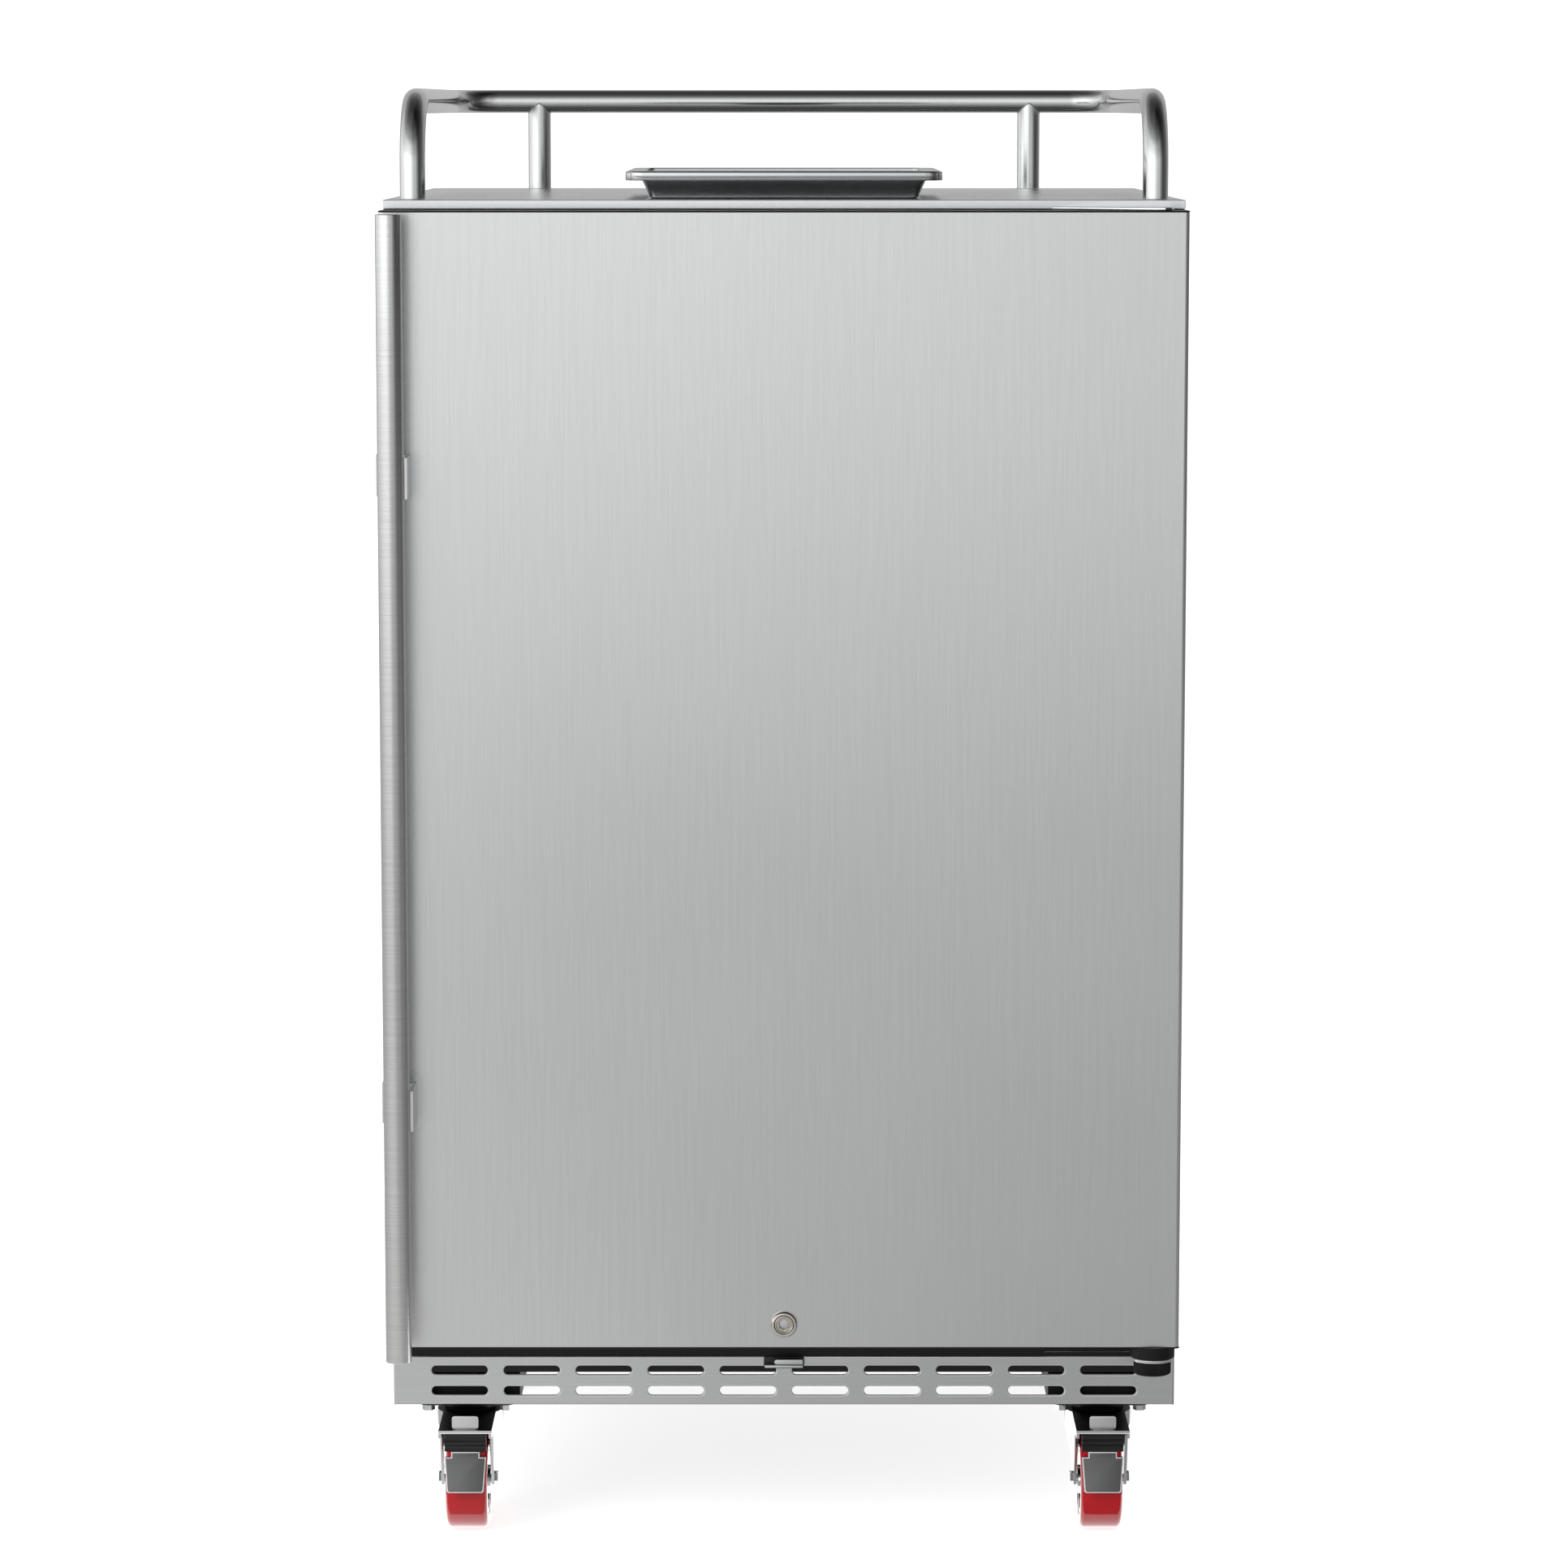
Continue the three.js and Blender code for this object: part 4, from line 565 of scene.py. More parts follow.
def lofted(rings):
    """Skin over equal rings with a flat face on the first and the last one."""
    return np.vstack(rings), ring_faces(len(rings), len(rings[0]))


# Section of the sheet from under the floor, up the wall, round the rim and down inside: (half, height).
tray_profile = [
    (0.1007, 0.0), (0.1018, 0.0009), (0.1096, 0.0182), (0.1105, 0.0195), (0.1190, 0.0195),
    (0.1190, 0.0137), (0.1193, 0.0134), (0.1197, 0.0134), (0.1200, 0.0137), (0.1200, 0.0188),
    (0.1198, 0.0197), (0.1192, 0.0203), (0.1184, 0.0205), (0.1080, 0.0205), (0.1074, 0.0203),
    (0.1072, 0.0198), (0.1072, 0.0169), (0.1070, 0.0165), (0.1046, 0.0165), (0.1042, 0.0163),
    (0.1014, 0.0022), (0.1003, 0.0010)]
tray_skin = add_mesh("drip_tray_sheet", *lofted([
    square_ring(half, max(tray_corner - (tray_half - half), tray_least_corner), tray_base + z)
    for half, z in tray_profile]))
finish_edges(tray_skin, tray_steel, 0, angle=50)
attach(tray_skin, "tray")
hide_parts("drip_tray")


def plate_from_outlines(name, outlines, thickness, edge, place):
    """Flat plate from closed outlines (the first is the rim, the others are holes), filled as a flat
    curve with a rounded edge; place turns its plane points into the object's own, as an array."""
    curve = bpy.data.curves.new(name, "CURVE")
    curve.dimensions = "2D"
    curve.fill_mode = "BOTH"
    curve.extrude = thickness / 2 - edge
    curve.bevel_depth = edge
    curve.bevel_resolution = 2
    for outline in outlines:
        spline = curve.splines.new("POLY")
        spline.points.add(len(outline) - 1)
        flat = np.ones((len(outline), 4))
        flat[:, :2] = outline
        flat[:, 2] = 0
        spline.points.foreach_set("co", flat.ravel())
        spline.use_cyclic_u = True
    holder = bpy.data.objects.new(name + "_curve", curve)
    bpy.context.scene.collection.objects.link(holder)
    graph = bpy.context.evaluated_depsgraph_get()
    mesh = bpy.data.meshes.new_from_object(holder.evaluated_get(graph))
    bpy.data.objects.remove(holder)
    bpy.data.curves.remove(curve)
    co = np.empty(len(mesh.vertices) * 3)
    mesh.vertices.foreach_get("co", co)
    co = place(co.reshape(-1, 3))
    mesh.vertices.foreach_set("co", co.ravel())
    build = bmesh.new()
    build.from_mesh(mesh)
    bmesh.ops.remove_doubles(build, verts=build.verts, dist=merge_distance)
    bmesh.ops.recalc_face_normals(build, faces=build.faces)
    build.to_mesh(mesh)
    build.free()
    mesh.name = name
    piece = bpy.data.objects.new(name, mesh)
    bpy.context.scene.collection.objects.link(piece)
    return piece


def round_slot(cx, cy, length, width, along_x=True, steps=10):
    """Outline of a slot with half circles on its two ends."""
    angle = np.linspace(-math.pi / 2, math.pi / 2, steps + 1)
    reach = (length - width) / 2
    first = np.stack([reach + width / 2 * np.cos(angle), width / 2 * np.sin(angle)], -1)
    outline = np.vstack([first, -first])
    if not along_x:
        outline = outline[:, ::-1]
    return outline + (cx, cy)


grate_low, grate_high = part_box("drip_grate")
grate_centre, (grate_half, _, _) = middle_and_half("drip_grate")
grate_columns, grate_rows, column_pitch, row_pitch = 8, 4, 0.0258, 0.05
slot_long, slot_wide, grate_corner, grate_edge = 0.042, 0.008, 0.0047, 0.0005
grate_slots = [
    round_slot((column - (grate_columns - 1) / 2) * column_pitch,
               tray_centre[1] + (row - (grate_rows - 1) / 2) * row_pitch, slot_long, slot_wide, along_x=False)
    for column in range(grate_columns) for row in range(grate_rows)]
grate = plate_from_outlines(
    "drip_grate_plate", [square_ring(grate_half, grate_corner, 0)[:, :2], *grate_slots],
    grate_high[2] - grate_low[2], grate_edge,
    lambda co: co + (0, 0, grate_centre[2]))
finish_edges(grate, grate_steel, 0, angle=40)
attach(grate, "grate")
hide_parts("drip_grate")

# Kick grille.
# Punched and folded steel plate under the door: two rows of ten round-ended slots whose edges are
# pressed inwards, a lip folded back along its bottom, returns at both ends and a notch for the lock keeper.
grille_steel = brushed_steel("grille_steel", (0.60, 0.605, 0.605), (8, 900, 900), rough=0.28, depth=0.03,
                             contrast=0.03)
grille_low, grille_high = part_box("kick_grille")
grille_face, grille_back = -0.243675, -0.242475
grille_columns, grille_rows = 10, (0.1321, 0.116)
grille_pitch, grille_slot, grille_slot_tall = 0.0554, 0.043, 0.0066
notch_half, notch_floor = 0.0149, grille_high[2] - 0.007
grille_fold, grille_sheet, grille_lip_back = 0.0016, 0.0012, -0.233175
grille_wide = grille_high[0] - grille_fold
slot_roll, rim_roll = 0.0012, 0.0009
grille_deep = grille_back - grille_face


def grille_outline(inset):
    """Outline of the plate with its notch, every side moved inwards by inset."""
    low, high, wide = grille_low[2] + inset, grille_high[2] - inset, grille_wide
    notch, floor = notch_half + inset, notch_floor - min(inset, 0.0002)
    return np.array([(-wide, low), (wide, low), (wide, high), (notch, high), (notch, floor),
                     (-notch, floor), (-notch, high), (-wide, high)])


slot_places = [((column - (grille_columns - 1) / 2) * grille_pitch, z)
               for column in range(grille_columns) for z in grille_rows]


def grille_slot_outline(cx, cz, grow):
    """Slot outline wider all round by grow, kept a hair under the notch where it runs below it."""
    outline = round_slot(cx, cz, grille_slot + 2 * grow, grille_slot_tall + 2 * grow)
    if abs(cx) < grille_pitch:
        outline[:, 1] = np.minimum(outline[:, 1], notch_floor - 0.0004)
    return outline


grille_plate = plate_from_outlines(
    "kick_grille_plate",
    [grille_outline(rim_roll), *(grille_slot_outline(cx, cz, slot_roll) for cx, cz in slot_places)],
    grille_deep, 0.0,
    lambda co: np.stack([co[:, 0], (grille_face + grille_back) / 2 + co[:, 2], co[:, 1]], -1))
finish_edges(grille_plate, grille_steel, 0, angle=12)
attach(grille_plate, "cabinet")
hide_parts("kick_grille")


def folded_strip(outline_xy, low, high):
    """Upright strip: a plan outline raised between two heights, as points and faces."""
    outline = np.asarray(outline_xy, float)
    count = len(outline)
    points = np.vstack([np.column_stack([outline, np.full(count, z)]) for z in (low, high)])
    return points, ring_faces(2, count)


def corner_fold(side, steps=6):
    """Plan outline of the rounded corner fold and the return behind it at one end of the grille."""
    outer, inner = grille_fold, grille_fold - grille_sheet
    angle = np.linspace(0, math.pi / 2, steps + 1)
    x0, y0 = grille_high[0] - outer, grille_face + outer
    front = np.stack([x0 + outer * np.sin(angle), y0 - outer * np.cos(angle)], -1)
    back = np.stack([x0 + inner * np.sin(angle), y0 - inner * np.cos(angle)], -1)[::-1]
    deep = grille_high[1]
    outline = np.vstack([front, [(grille_high[0], deep), (grille_high[0] - grille_sheet, deep)], back])
    outline[:, 0] *= side
    return outline if side > 0 else outline[::-1]


def lip_strip():
    """Flat lip behind the plate's bottom edge, from one end to the other."""
    y_from, y_to = grille_back - 0.0002, grille_lip_back
    return folded_strip(
        [(-grille_wide, y_from), (grille_wide, y_from), (grille_wide, y_to), (-grille_wide, y_to)],
        grille_low[2], grille_low[2] + grille_sheet)


grille_folds = add_mesh("kick_grille_folds", *gather([
    folded_strip(corner_fold(1), grille_low[2], grille_high[2]),
    folded_strip(corner_fold(-1), grille_low[2], grille_high[2]),
    lip_strip()]))
finish_edges(grille_folds, grille_steel, 0, angle=40)
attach(grille_folds, "cabinet")


def rolled_edge(outline_at, roll, steps=6):
    """Pressed edge along a closed outline: outlines from the plate's face, by a quarter of an ellipse, to
    the plate's back; outline_at gives the outline at a distance from its final place."""
    rings = []
    for angle in np.linspace(0, math.pi / 2, steps):
        ring = outline_at(roll * (1 - math.sin(angle)))
        depth = grille_deep * (1 - math.cos(angle))
        rings.append(np.stack([ring[:, 0], np.full(len(ring), grille_face + depth), ring[:, 1]], -1))
    return np.vstack(rings), ring_faces(steps, len(rings[0]), capped=False)


def face_values(piece, name):
    """Array of one vector of every face of a piece: its center or its normal."""
    values = np.empty(len(piece.data.polygons) * 3)
    piece.data.polygons.foreach_get(name, values)
    return values.reshape(-1, 3)


def second_material(piece, material, chosen):
    """Gives the chosen faces, one truth value each, another material."""
    piece.data.materials.append(material)
    piece.data.polygons.foreach_set("material_index", chosen.astype(np.int32))


# The pressed edges get a lighter, less metallic copy of the grille's steel: a painted highlight where the
# rolls catch the light.
edge_highlight_steel = moulded("edge_highlight_steel", (0.74, 0.745, 0.745), 0.34, grain=300, depth=0.02, contrast=0.03,
                     metal=0.45)
grille_rims = add_mesh("kick_grille_rolled_edges", *gather(
    [rolled_edge(lambda grow: grille_slot_outline(cx, cz, grow), slot_roll) for cx, cz in slot_places]
    + [rolled_edge(grille_outline, rim_roll)]))
finish_edges(grille_rims, edge_highlight_steel, 0, angle=60)
# Where the roll along the bottom edge faces down it is black: painted shade on the underside of the roll.
second_material(grille_rims, black_coat, (np.abs(face_values(grille_rims, "normal")[:, 2]) > 0.55)
                & (face_values(grille_rims, "center")[:, 2] < grille_low[2] + rim_roll))
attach(grille_rims, "cabinet")

# Lock keeper.
# Small moulded bracket in the notch with a bright steel wear strip on its upright lip; the lock's cam
# swings behind that lip.
keeper_mould = moulded("keeper_mould", (0.02, 0.02, 0.021), 0.4, grain=900, depth=0.05)
finer_copy("lock_keeper", keeper_mould, 0.0002)
tongue_steel = brushed_steel("tongue_steel", (0.62, 0.625, 0.625), (8, 900, 900), rough=0.3, depth=0.02,
                             contrast=0.03)
keeper_low, keeper_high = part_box("lock_keeper")
tongue_top, tongue_tall, tongue_edge, tongue_thick = 0.1427, 0.0042, 0.0006, 0.0013
tongue_from, tongue_to = -0.0075, keeper_high[0] - 0.0001
tongue_turn = np.linspace(math.pi / 2, 3 * math.pi / 2, 13)
tongue_end = tongue_tall / 2 - tongue_edge
tongue_right = tongue_to - tongue_edge
tongue_outline = np.vstack([
    [(tongue_right, tongue_top - tongue_tall + tongue_edge), (tongue_right, tongue_top - tongue_edge)],
    np.stack([tongue_from + tongue_edge + tongue_end + tongue_end * np.cos(tongue_turn),
              tongue_top - tongue_tall / 2 + tongue_end * np.sin(tongue_turn)], -1)])
strip_left, strip_low, strip_high = -0.0143, keeper_low[2] + 0.0027, keeper_low[2] + 0.0036
strip_outline = np.array([
    (strip_left, strip_low), (tongue_right, strip_low), (tongue_right, strip_high), (strip_left, strip_high)])
keeper_tongue = plate_from_outlines(
    "lock_keeper_tongue", [tongue_outline, strip_outline], tongue_thick, tongue_edge,
    lambda co: np.stack([co[:, 0], keeper_low[1] + 0.0003 + co[:, 2], co[:, 1]], -1))
finish_edges(keeper_tongue, tongue_steel, 0, angle=60)
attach(keeper_tongue, "cabinet")

# Hinges.
# Polished plates screwed to the case top and to the front frame; the lower one is black behind
# leaf_front, and its pin is held from below by a black cap ribbed all round.
hinge_steel = brushed_steel("hinge_steel", (0.70, 0.70, 0.71), (300, 300, 300), rough=0.14, depth=0.01,
                            contrast=0.02)
finer_copy("upper_hinge_bracket", hinge_steel, 0.0005, 3)
lower_hinge = finer_copy("lower_hinge_bracket", hinge_steel, 0.0006, 3)
leaf_front = -0.262
second_material(lower_hinge, black_coat, face_values(lower_hinge, "center")[:, 1] > leaf_front)
cap_low, cap_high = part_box("hinge_cap")
cap_centre, (cap_radius, _, _) = middle_and_half("hinge_cap")


def turned_piece(centre, axis, profile, sides=64, ribs=0, rib_depth=0.0, ribbed=()):
    """Lathe surface: profile pairs (radius, distance along axis) turned round an axis line. Radii of
    the ribbed rows are cut back by a cosine of the angle, so that they stand as ribs."""
    axis = np.asarray(axis, float)
    first = np.cross(axis, (0, 0, 1) if abs(axis[2]) < 0.9 else (1, 0, 0))
    first /= np.linalg.norm(first)
    second = np.cross(axis, first)
    turn = np.linspace(0, 2 * math.pi, sides, endpoint=False)
    rows = []
    for row, (radius, along) in enumerate(profile):
        reach = np.full(sides, radius)
        if row in ribbed:
            reach = reach - rib_depth * (0.5 - 0.5 * np.cos(turn * ribs))
        rows.append(np.asarray(centre, float) + along * axis
                    + reach[:, None] * (np.cos(turn)[:, None] * first + np.sin(turn)[:, None] * second))
    return np.vstack(rows), ring_faces(len(rows), sides)


cap_tall = cap_high[2] - cap_low[2]
hinge_cap = add_mesh("hinge_cap_ribbed", *turned_piece(
    (*cap_centre[:2], cap_low[2]), (0, 0, 1),
    [(cap_radius - 0.0014, 0.0), (cap_radius - 0.0004, 0.0006), (cap_radius, 0.0016),
     (cap_radius, cap_tall - 0.0012), (cap_radius - 0.0005, cap_tall - 0.0003),
     (cap_radius - 0.0012, cap_tall)],
    sides=448, ribs=56, rib_depth=0.0006, ribbed=(1, 2, 3, 4)))
finish_edges(hinge_cap, black_mould, 0, angle=60)
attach(hinge_cap, "cabinet")
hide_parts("hinge_cap")

# Door.
# Stainless skin folded round the foam, its grain running upright, closed by a black moulded cap at the
# top and at the bottom; the bottom one carries the hinge bushing.
door_steel = brushed_steel("door_steel", (0.66, 0.665, 0.665), (900, 900, 16), rough=0.26, depth=0.03,
                           contrast=0.024)
door_face_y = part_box("door_skin")[0][1]
finer_copy("door_skin", door_steel, 0.0)
finer_copy("door_end_cap_top", black_mould, 0.0002)
finer_copy("door_end_cap_bottom", black_mould, 0.0002)

# Handle.
# Stainless tube with rounded ends and fine lines turned round it, held by two bent straps that reach
# round the door's left edge.
handle_steel = brushed_steel("handle_steel", (0.63, 0.63, 0.625), (14, 14, 900), rough=0.22, depth=0.05,
                             contrast=0.05)
strap_steel = brushed_steel("strap_steel", (0.62, 0.62, 0.63), (500, 500, 6), rough=0.3, depth=0.03)
handle_low, handle_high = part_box("handle_tube")
handle_centre, (handle_radius, _, _) = middle_and_half("handle_tube")
handle_long = handle_high[2] - handle_low[2]
end_turn = np.linspace(0, math.pi / 2, 7)
end_edge = 0.0006
end_inner = handle_radius - end_edge
handle_profile = (
    [(end_inner + end_edge * math.sin(a), end_edge - end_edge * math.cos(a)) for a in end_turn]
    + [(handle_radius, handle_long * share) for share in (0.1, 0.3, 0.5, 0.7, 0.9)]
    + [(end_inner + end_edge * math.cos(a), handle_long - end_edge + end_edge * math.sin(a))
       for a in end_turn])
handle = add_mesh("handle_tube_turned", *turned_piece(
    (*handle_centre[:2], handle_low[2]), (0, 0, 1), handle_profile, sides=96))
finish_edges(handle, handle_steel, 0, angle=40)
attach(handle, "door")
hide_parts("handle_tube")
finer_copy("handle_bracket_upper", strap_steel, 0.0004)
finer_copy("handle_bracket_lower", strap_steel, 0.0004)

# Lock.
# Round nickel plated lock: a bezel turned with a rolled rim and a groove and, inside it, the plug with a
# raised ring and a hexagon socket for the key; the plug turns with its cam.
lock_nickel = brushed_steel("lock_nickel", (0.60, 0.565, 0.51), (700, 700, 700), rough=0.17, depth=0.01,
                            contrast=0.03)
socket_grey = moulded("lock_socket", (0.62, 0.63, 0.63), 0.45, grain=900, depth=0.02, metal=0.9)
barrel_low, barrel_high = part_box("lock_barrel")
(lock_x, _, lock_z), (bezel_radius, _, _) = middle_and_half("lock_barrel")
bezel_front = barrel_low[1]
plug_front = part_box("lock_plug")[0][1]
plug_radius = 0.0072
lock_turn = np.linspace(0, math.pi / 2, 9)


def ring_piece(centre, axis, profile, sides=96):
    """Closed ring: a closed profile of (radius, distance along axis) pairs turned round an axis line."""
    points, faces = turned_piece(centre, axis, list(profile) + [profile[0]], sides)
    last = len(profile) * sides
    return points[:last], [[i % last for i in face] for face in faces[:-2]]


def lock_ring(name, body, front, profile):
    """Turned ring on the lock's axis; profile pairs are (radius, distance in front of a Y value)."""
    ring = add_mesh(name, *ring_piece((lock_x, front, lock_z), (0, -1, 0), profile, 96))
    finish_edges(ring, lock_nickel, 0, angle=50)
    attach(ring, body)
    return ring


barrel_deep = barrel_high[1] - bezel_front
bezel_proud = door_face_y - bezel_front
bezel_wide, bezel_tall, groove_radius = 0.0020, 0.0024, 0.0090
bezel_roll = [(bezel_radius - bezel_wide + bezel_wide * math.sin(t), -bezel_tall * (1 - math.cos(t)))
              for t in lock_turn]
lock_barrel = lock_ring("lock_barrel_turned", "door", bezel_front, [
    (plug_radius + 0.0002, -barrel_deep), (plug_radius + 0.0002, -0.0004), (plug_radius + 0.0003, -0.0001),
    (plug_radius + 0.0006, 0.0), *bezel_roll, (bezel_radius, -bezel_proud), (groove_radius, -bezel_proud),
    (groove_radius, -barrel_deep)])
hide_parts("lock_barrel")
finer_copy("lock_plug", lock_nickel, 0.0003, 3)
lock_ring("lock_plug_ring", body_of_node["lock_plug"], plug_front, [
    (0.0056, -0.0001), (0.0057, 0.0008), (0.0060, 0.0012), (0.0064, 0.0014), (0.0069, 0.0012),
    (0.0071, 0.0008), (0.0071, -0.0001)])
hex_turn = np.arange(6) * math.pi / 3 + math.pi / 6
socket_radius, socket_deep = 0.0040, 0.0024
socket_floor = plate_from_outlines(
    "lock_socket_floor", [socket_radius * np.stack([np.cos(hex_turn), np.sin(hex_turn)], -1)], 0.0006, 0.0001,
    lambda co: np.stack([lock_x + co[:, 0], plug_front + socket_deep + co[:, 2], lock_z + co[:, 1]], -1))
finish_edges(socket_floor, socket_grey, 0, angle=40)
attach(socket_floor, body_of_node["lock_plug"])

# Casters.
# Plate casters with a cast red tread on a bright hub. Zinc plated pressed fork; plate and crown are black on
# top, a painted reflection of the shaded underside above them. The two front ones carry a stamped foot pedal
# whose neck stands in a slot of the crown.
zinc_bright = moulded("zinc_bright", (0.66, 0.665, 0.675), 0.13, grain=260, depth=0.02, contrast=0.04,
                      metal=1.0)
red_tread = moulded("red_tread", (0.72, 0.005, 0.012), 0.5, grain=500, depth=0.01, contrast=0.04, coat=1.0)
red_coat = red_tread.node_tree.nodes["Principled BSDF"]
red_coat.inputs["Specular IOR Level"].default_value = 0.0
red_coat.inputs["Coat Roughness"].default_value = 0.03
hub_mould = moulded("hub_mould", (0.62, 0.625, 0.63), 0.16, grain=700, depth=0.02, metal=1.0)
# Black for the tops of crown, plate and fork: painted shade standing in for the dark underside that they
# reflect.
crown_painted_shade = moulded("crown_painted_shade", (0.010, 0.010, 0.011), 0.3, grain=700, depth=0.03)
crown_half, crown_radius, crown_edge = 0.0205, 0.0275, 0.0024
plate_sheet, crown_sheet = 0.0027, 0.0012
tread_edge = 0.0042
places = ("front_left", "front_right", "rear_left", "rear_right")


def fillet(a, b, radius, start, end, steps=5):
    """Profile points of a quarter round of one radius about (a, b) between two angles in degrees."""
    return [(a + radius * math.cos(math.radians(t)), b + radius * math.sin(math.radians(t)))
            for t in np.linspace(start, end, steps + 1)]


for place in places:
    paint("caster_bracket_" + place, black_coat)
    plate = finer_copy("caster_plate_" + place, zinc_bright, 0.0003)
    fork = finer_copy("caster_fork_" + place, zinc_bright, 0.0004)
    fork_low, fork_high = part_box("caster_fork_" + place)
    axis_x = middle_and_half("caster_fork_" + place)[0][0]
    axis_y = middle_and_half("caster_plate_" + place)[0][1]
    plate_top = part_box("caster_plate_" + place)[1][2]
    spot = face_values(plate, "center")
    # The crown and the tops of plate and fork are painted black as painted reflection of the shaded
    # underside.
    second_material(plate, crown_painted_shade, (np.hypot(spot[:, 0] - axis_x, spot[:, 1] - axis_y) < crown_radius)
                    | (spot[:, 2] > plate_top - plate_sheet))
    second_material(fork, crown_painted_shade, (face_values(fork, "normal")[:, 2] > 0.9)
                    & (face_values(fork, "center")[:, 2] > fork_high[2] - crown_sheet))
    edge_y, edge_z = fork_low[1] + crown_edge, fork_high[2] - crown_edge
    edge_reach = crown_edge + 0.0001
    edge_turn = np.linspace(0, math.pi / 2, 9)
    edge_section = np.vstack([
        np.stack([edge_y - edge_reach * np.cos(edge_turn), edge_z + edge_reach * np.sin(edge_turn)], -1),
        [(edge_y, edge_z), (fork_low[1] + 0.0004, edge_z)]])
    crown_roll = add_mesh(
        "crown_roll_" + place,
        np.vstack([np.column_stack([np.full(len(edge_section), x), edge_section])
                   for x in (axis_x - crown_half, axis_x + crown_half)]),
        ring_faces(2, len(edge_section)))
    finish_edges(crown_roll, zinc_bright, 0, angle=30)
    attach(crown_roll, body_of_node["caster_fork_" + place])
    wheel = "wheel_" + place
    centre, (half, outer, _) = middle_and_half(wheel + "_tread")
    boss, hub_radius, _ = middle_and_half(wheel + "_hub")[1]
    inner = hub_radius + 0.0002
    flank = outer - tread_edge
    tread_profile = (
        [(inner, -half), (flank, -half)]
        + fillet(flank, -half + tread_edge, tread_edge, -80, 0)
        + fillet(flank, half - tread_edge, tread_edge, 0, 80)
        + [(flank, half), (inner, half)])
    tread = add_mesh(wheel + "_tread_cast", *ring_piece(centre, (1, 0, 0), tread_profile))
    finish_edges(tread, red_tread, 0, angle=50)
    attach(tread, body_of_node[wheel + "_tread"])
    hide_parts(wheel + "_tread")
    rim, web = half - 0.0005, half - 0.0065
    side_profile = [
        (0.0043, boss), (0.0104, boss), (0.011, boss - 0.0006), (0.0112, web + 0.0006), (0.0118, web),
        (hub_radius - 0.0048, web), (hub_radius - 0.0041, web + 0.0007), (hub_radius - 0.0038, rim - 0.0004),
        (hub_radius - 0.0033, rim), (hub_radius - 0.0006, rim), (hub_radius, rim - 0.0006)]
    hub_profile = side_profile + [(radius, -along) for radius, along in side_profile[::-1]]
    hub = add_mesh(wheel + "_hub_moulded", *ring_piece(centre, (1, 0, 0), hub_profile, 72))
    finish_edges(hub, hub_mould, 0, angle=45)
    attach(hub, body_of_node[wheel + "_hub"])
    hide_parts(wheel + "_hub")

# Pedals: one polished steel piece, drawn with lit and shaded copies of its steel. The upper part is black
# with drawn lines, a painted reflection of the dark underside. A grey foot plate with a bright rolled border
# lies on its slope: the grey is a painted reflection and the border a painted highlight. The head that a toe
# lifts has a bright steel facing, painted where the light falls on it.
# The black upper part is painted shade, the grey foot a painted reflection, the light border and head facing
# painted highlights, all on one steel pedal.
pedal_painted_shade = brushed_steel("pedal_painted_shade", (0.035, 0.035, 0.036), (5, 5, 620), rough=0.34, depth=0.12,
                            contrast=0.5)
pedal_painted_reflection = brushed_steel("pedal_painted_reflection", (0.13, 0.13, 0.132), (300, 300, 300), rough=0.3, depth=0.004,
                           contrast=0.03)
pedal_border_highlight = moulded("pedal_border_highlight", (0.80, 0.80, 0.80), 0.3, grain=500, depth=0.02, contrast=0.03,
                       metal=0.3)
pedal_lit_facing = brushed_steel("pedal_lit_facing", (0.66, 0.66, 0.66), (6, 6, 700), rough=0.3, depth=0.03,
                             contrast=0.05)
pedal_sheet, pedal_slope = 0.0025, 0.0070
upper_top, upper_low, head_foot = 0.0835, 0.0696, 0.0873
head_half, neck_half = 0.0100, 0.0073
pedal_half, tip_half, notch_wide, notch_deep = 0.0160, 0.0143, 0.0050, 0.0041


def round_box(x0, x1, y0, y1, radius, steps=6):
    """Outline of a rectangle with four quarter round corners."""
    turn = np.linspace(0, math.pi / 2, steps + 1)
    corners = ((x1, y1, 0), (x0, y1, 1), (x0, y0, 2), (x1, y0, 3))
    return np.vstack([
        np.stack([x - (radius if k in (0, 3) else -radius) + radius * np.cos(turn + k * math.pi / 2),
                  y - (radius if k in (0, 1) else -radius) + radius * np.sin(turn + k * math.pi / 2)], -1)
        for x, y, k in corners])


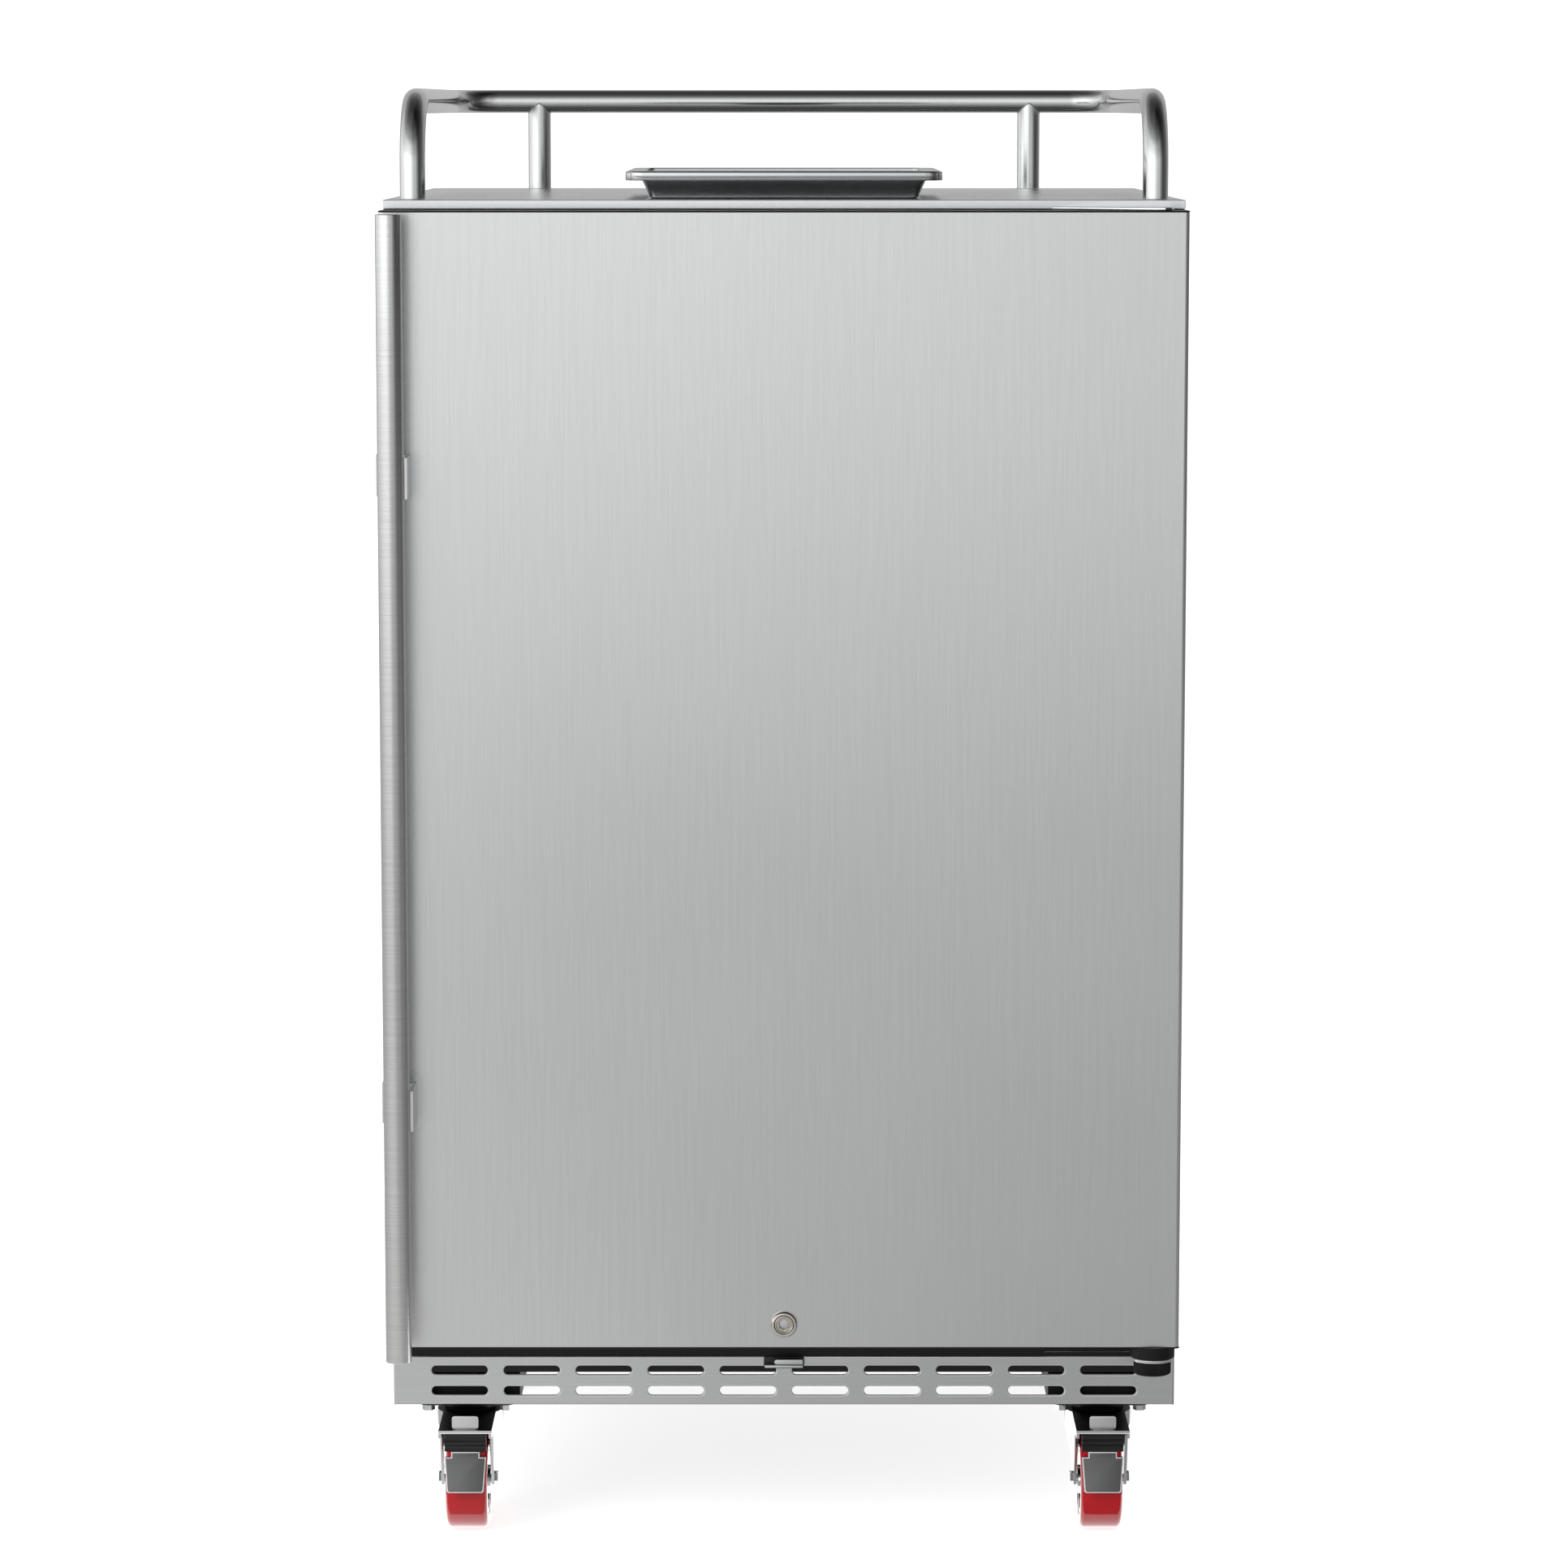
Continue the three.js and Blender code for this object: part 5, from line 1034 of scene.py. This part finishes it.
def foot_outline(inset, long, corner, steps=6):
    """Outline of the foot plate from its top edge between the notches down to its rounded tip, every
    side moved in by inset."""
    turn = np.linspace(0, math.pi / 2, steps + 1)
    low = -(long - inset)
    half_low = tip_half - inset
    right = np.stack([half_low - corner + corner * np.cos(-turn), low + corner + corner * np.sin(-turn)], -1)
    right = np.vstack([
        [(pedal_half - notch_wide - inset, -inset), (pedal_half - notch_wide - inset, -notch_deep - inset),
         (pedal_half - inset, -notch_deep - inset)], right])
    left = right[::-1] * (-1, 1)
    return np.vstack([right, left])


def on_slope(co, lift, start, down, out):
    """Plane points laid on the foot's slope from its start, lifted off it along its normal."""
    return start + co[:, :1] * (1, 0, 0) - co[:, 1:2] * down + (co[:, 2:3] + lift) * out


for place in places[:2]:
    pedal = "brake_pedal_" + place
    finer_copy(pedal, pedal_painted_shade, 0.0004)
    low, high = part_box(pedal)
    middle, face = middle_and_half(pedal)[0][0], high[1] - pedal_sheet
    start = np.array((middle, face, upper_low))
    drop = upper_low - low[2]
    slant = math.hypot(drop, pedal_slope)
    down = np.array((0.0, -pedal_slope / slant, -drop / slant))
    out = np.array((0.0, -drop / slant, pedal_slope / slant))
    for layer, inset, corner, lift, material in (
            ("border", 0.0003, 0.0015, 0.0002, pedal_border_highlight), ("plate", 0.0012, 0.0014, 0.0005, pedal_painted_reflection)):
        foot = plate_from_outlines(
            f"{pedal}_foot_{layer}", [foot_outline(inset, slant, corner)], 0.0005, 0.0002,
            lambda co: on_slope(co, lift, start, down, out))
        finish_edges(foot, material, 0, angle=40)
        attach(foot, body_of_node[pedal])
    for part, outline, thickness, edge in (
            ("head", round_box(-head_half, head_half, head_foot + 0.0003, high[2] + 0.0014, 0.0018),
             0.0004, 0.00015),
            ("neck", round_box(-neck_half, neck_half, upper_top + 0.0005, head_foot + 0.0008, 0.0002),
             0.0003, 0.0001)):
        facing = plate_from_outlines(
            f"{pedal}_{part}_facing", [outline], thickness, edge,
            lambda co: np.stack([middle + co[:, 0], face - 0.0001 + co[:, 2], co[:, 1]], -1))
        finish_edges(facing, pedal_lit_facing, 0, angle=40)
        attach(facing, body_of_node[pedal])
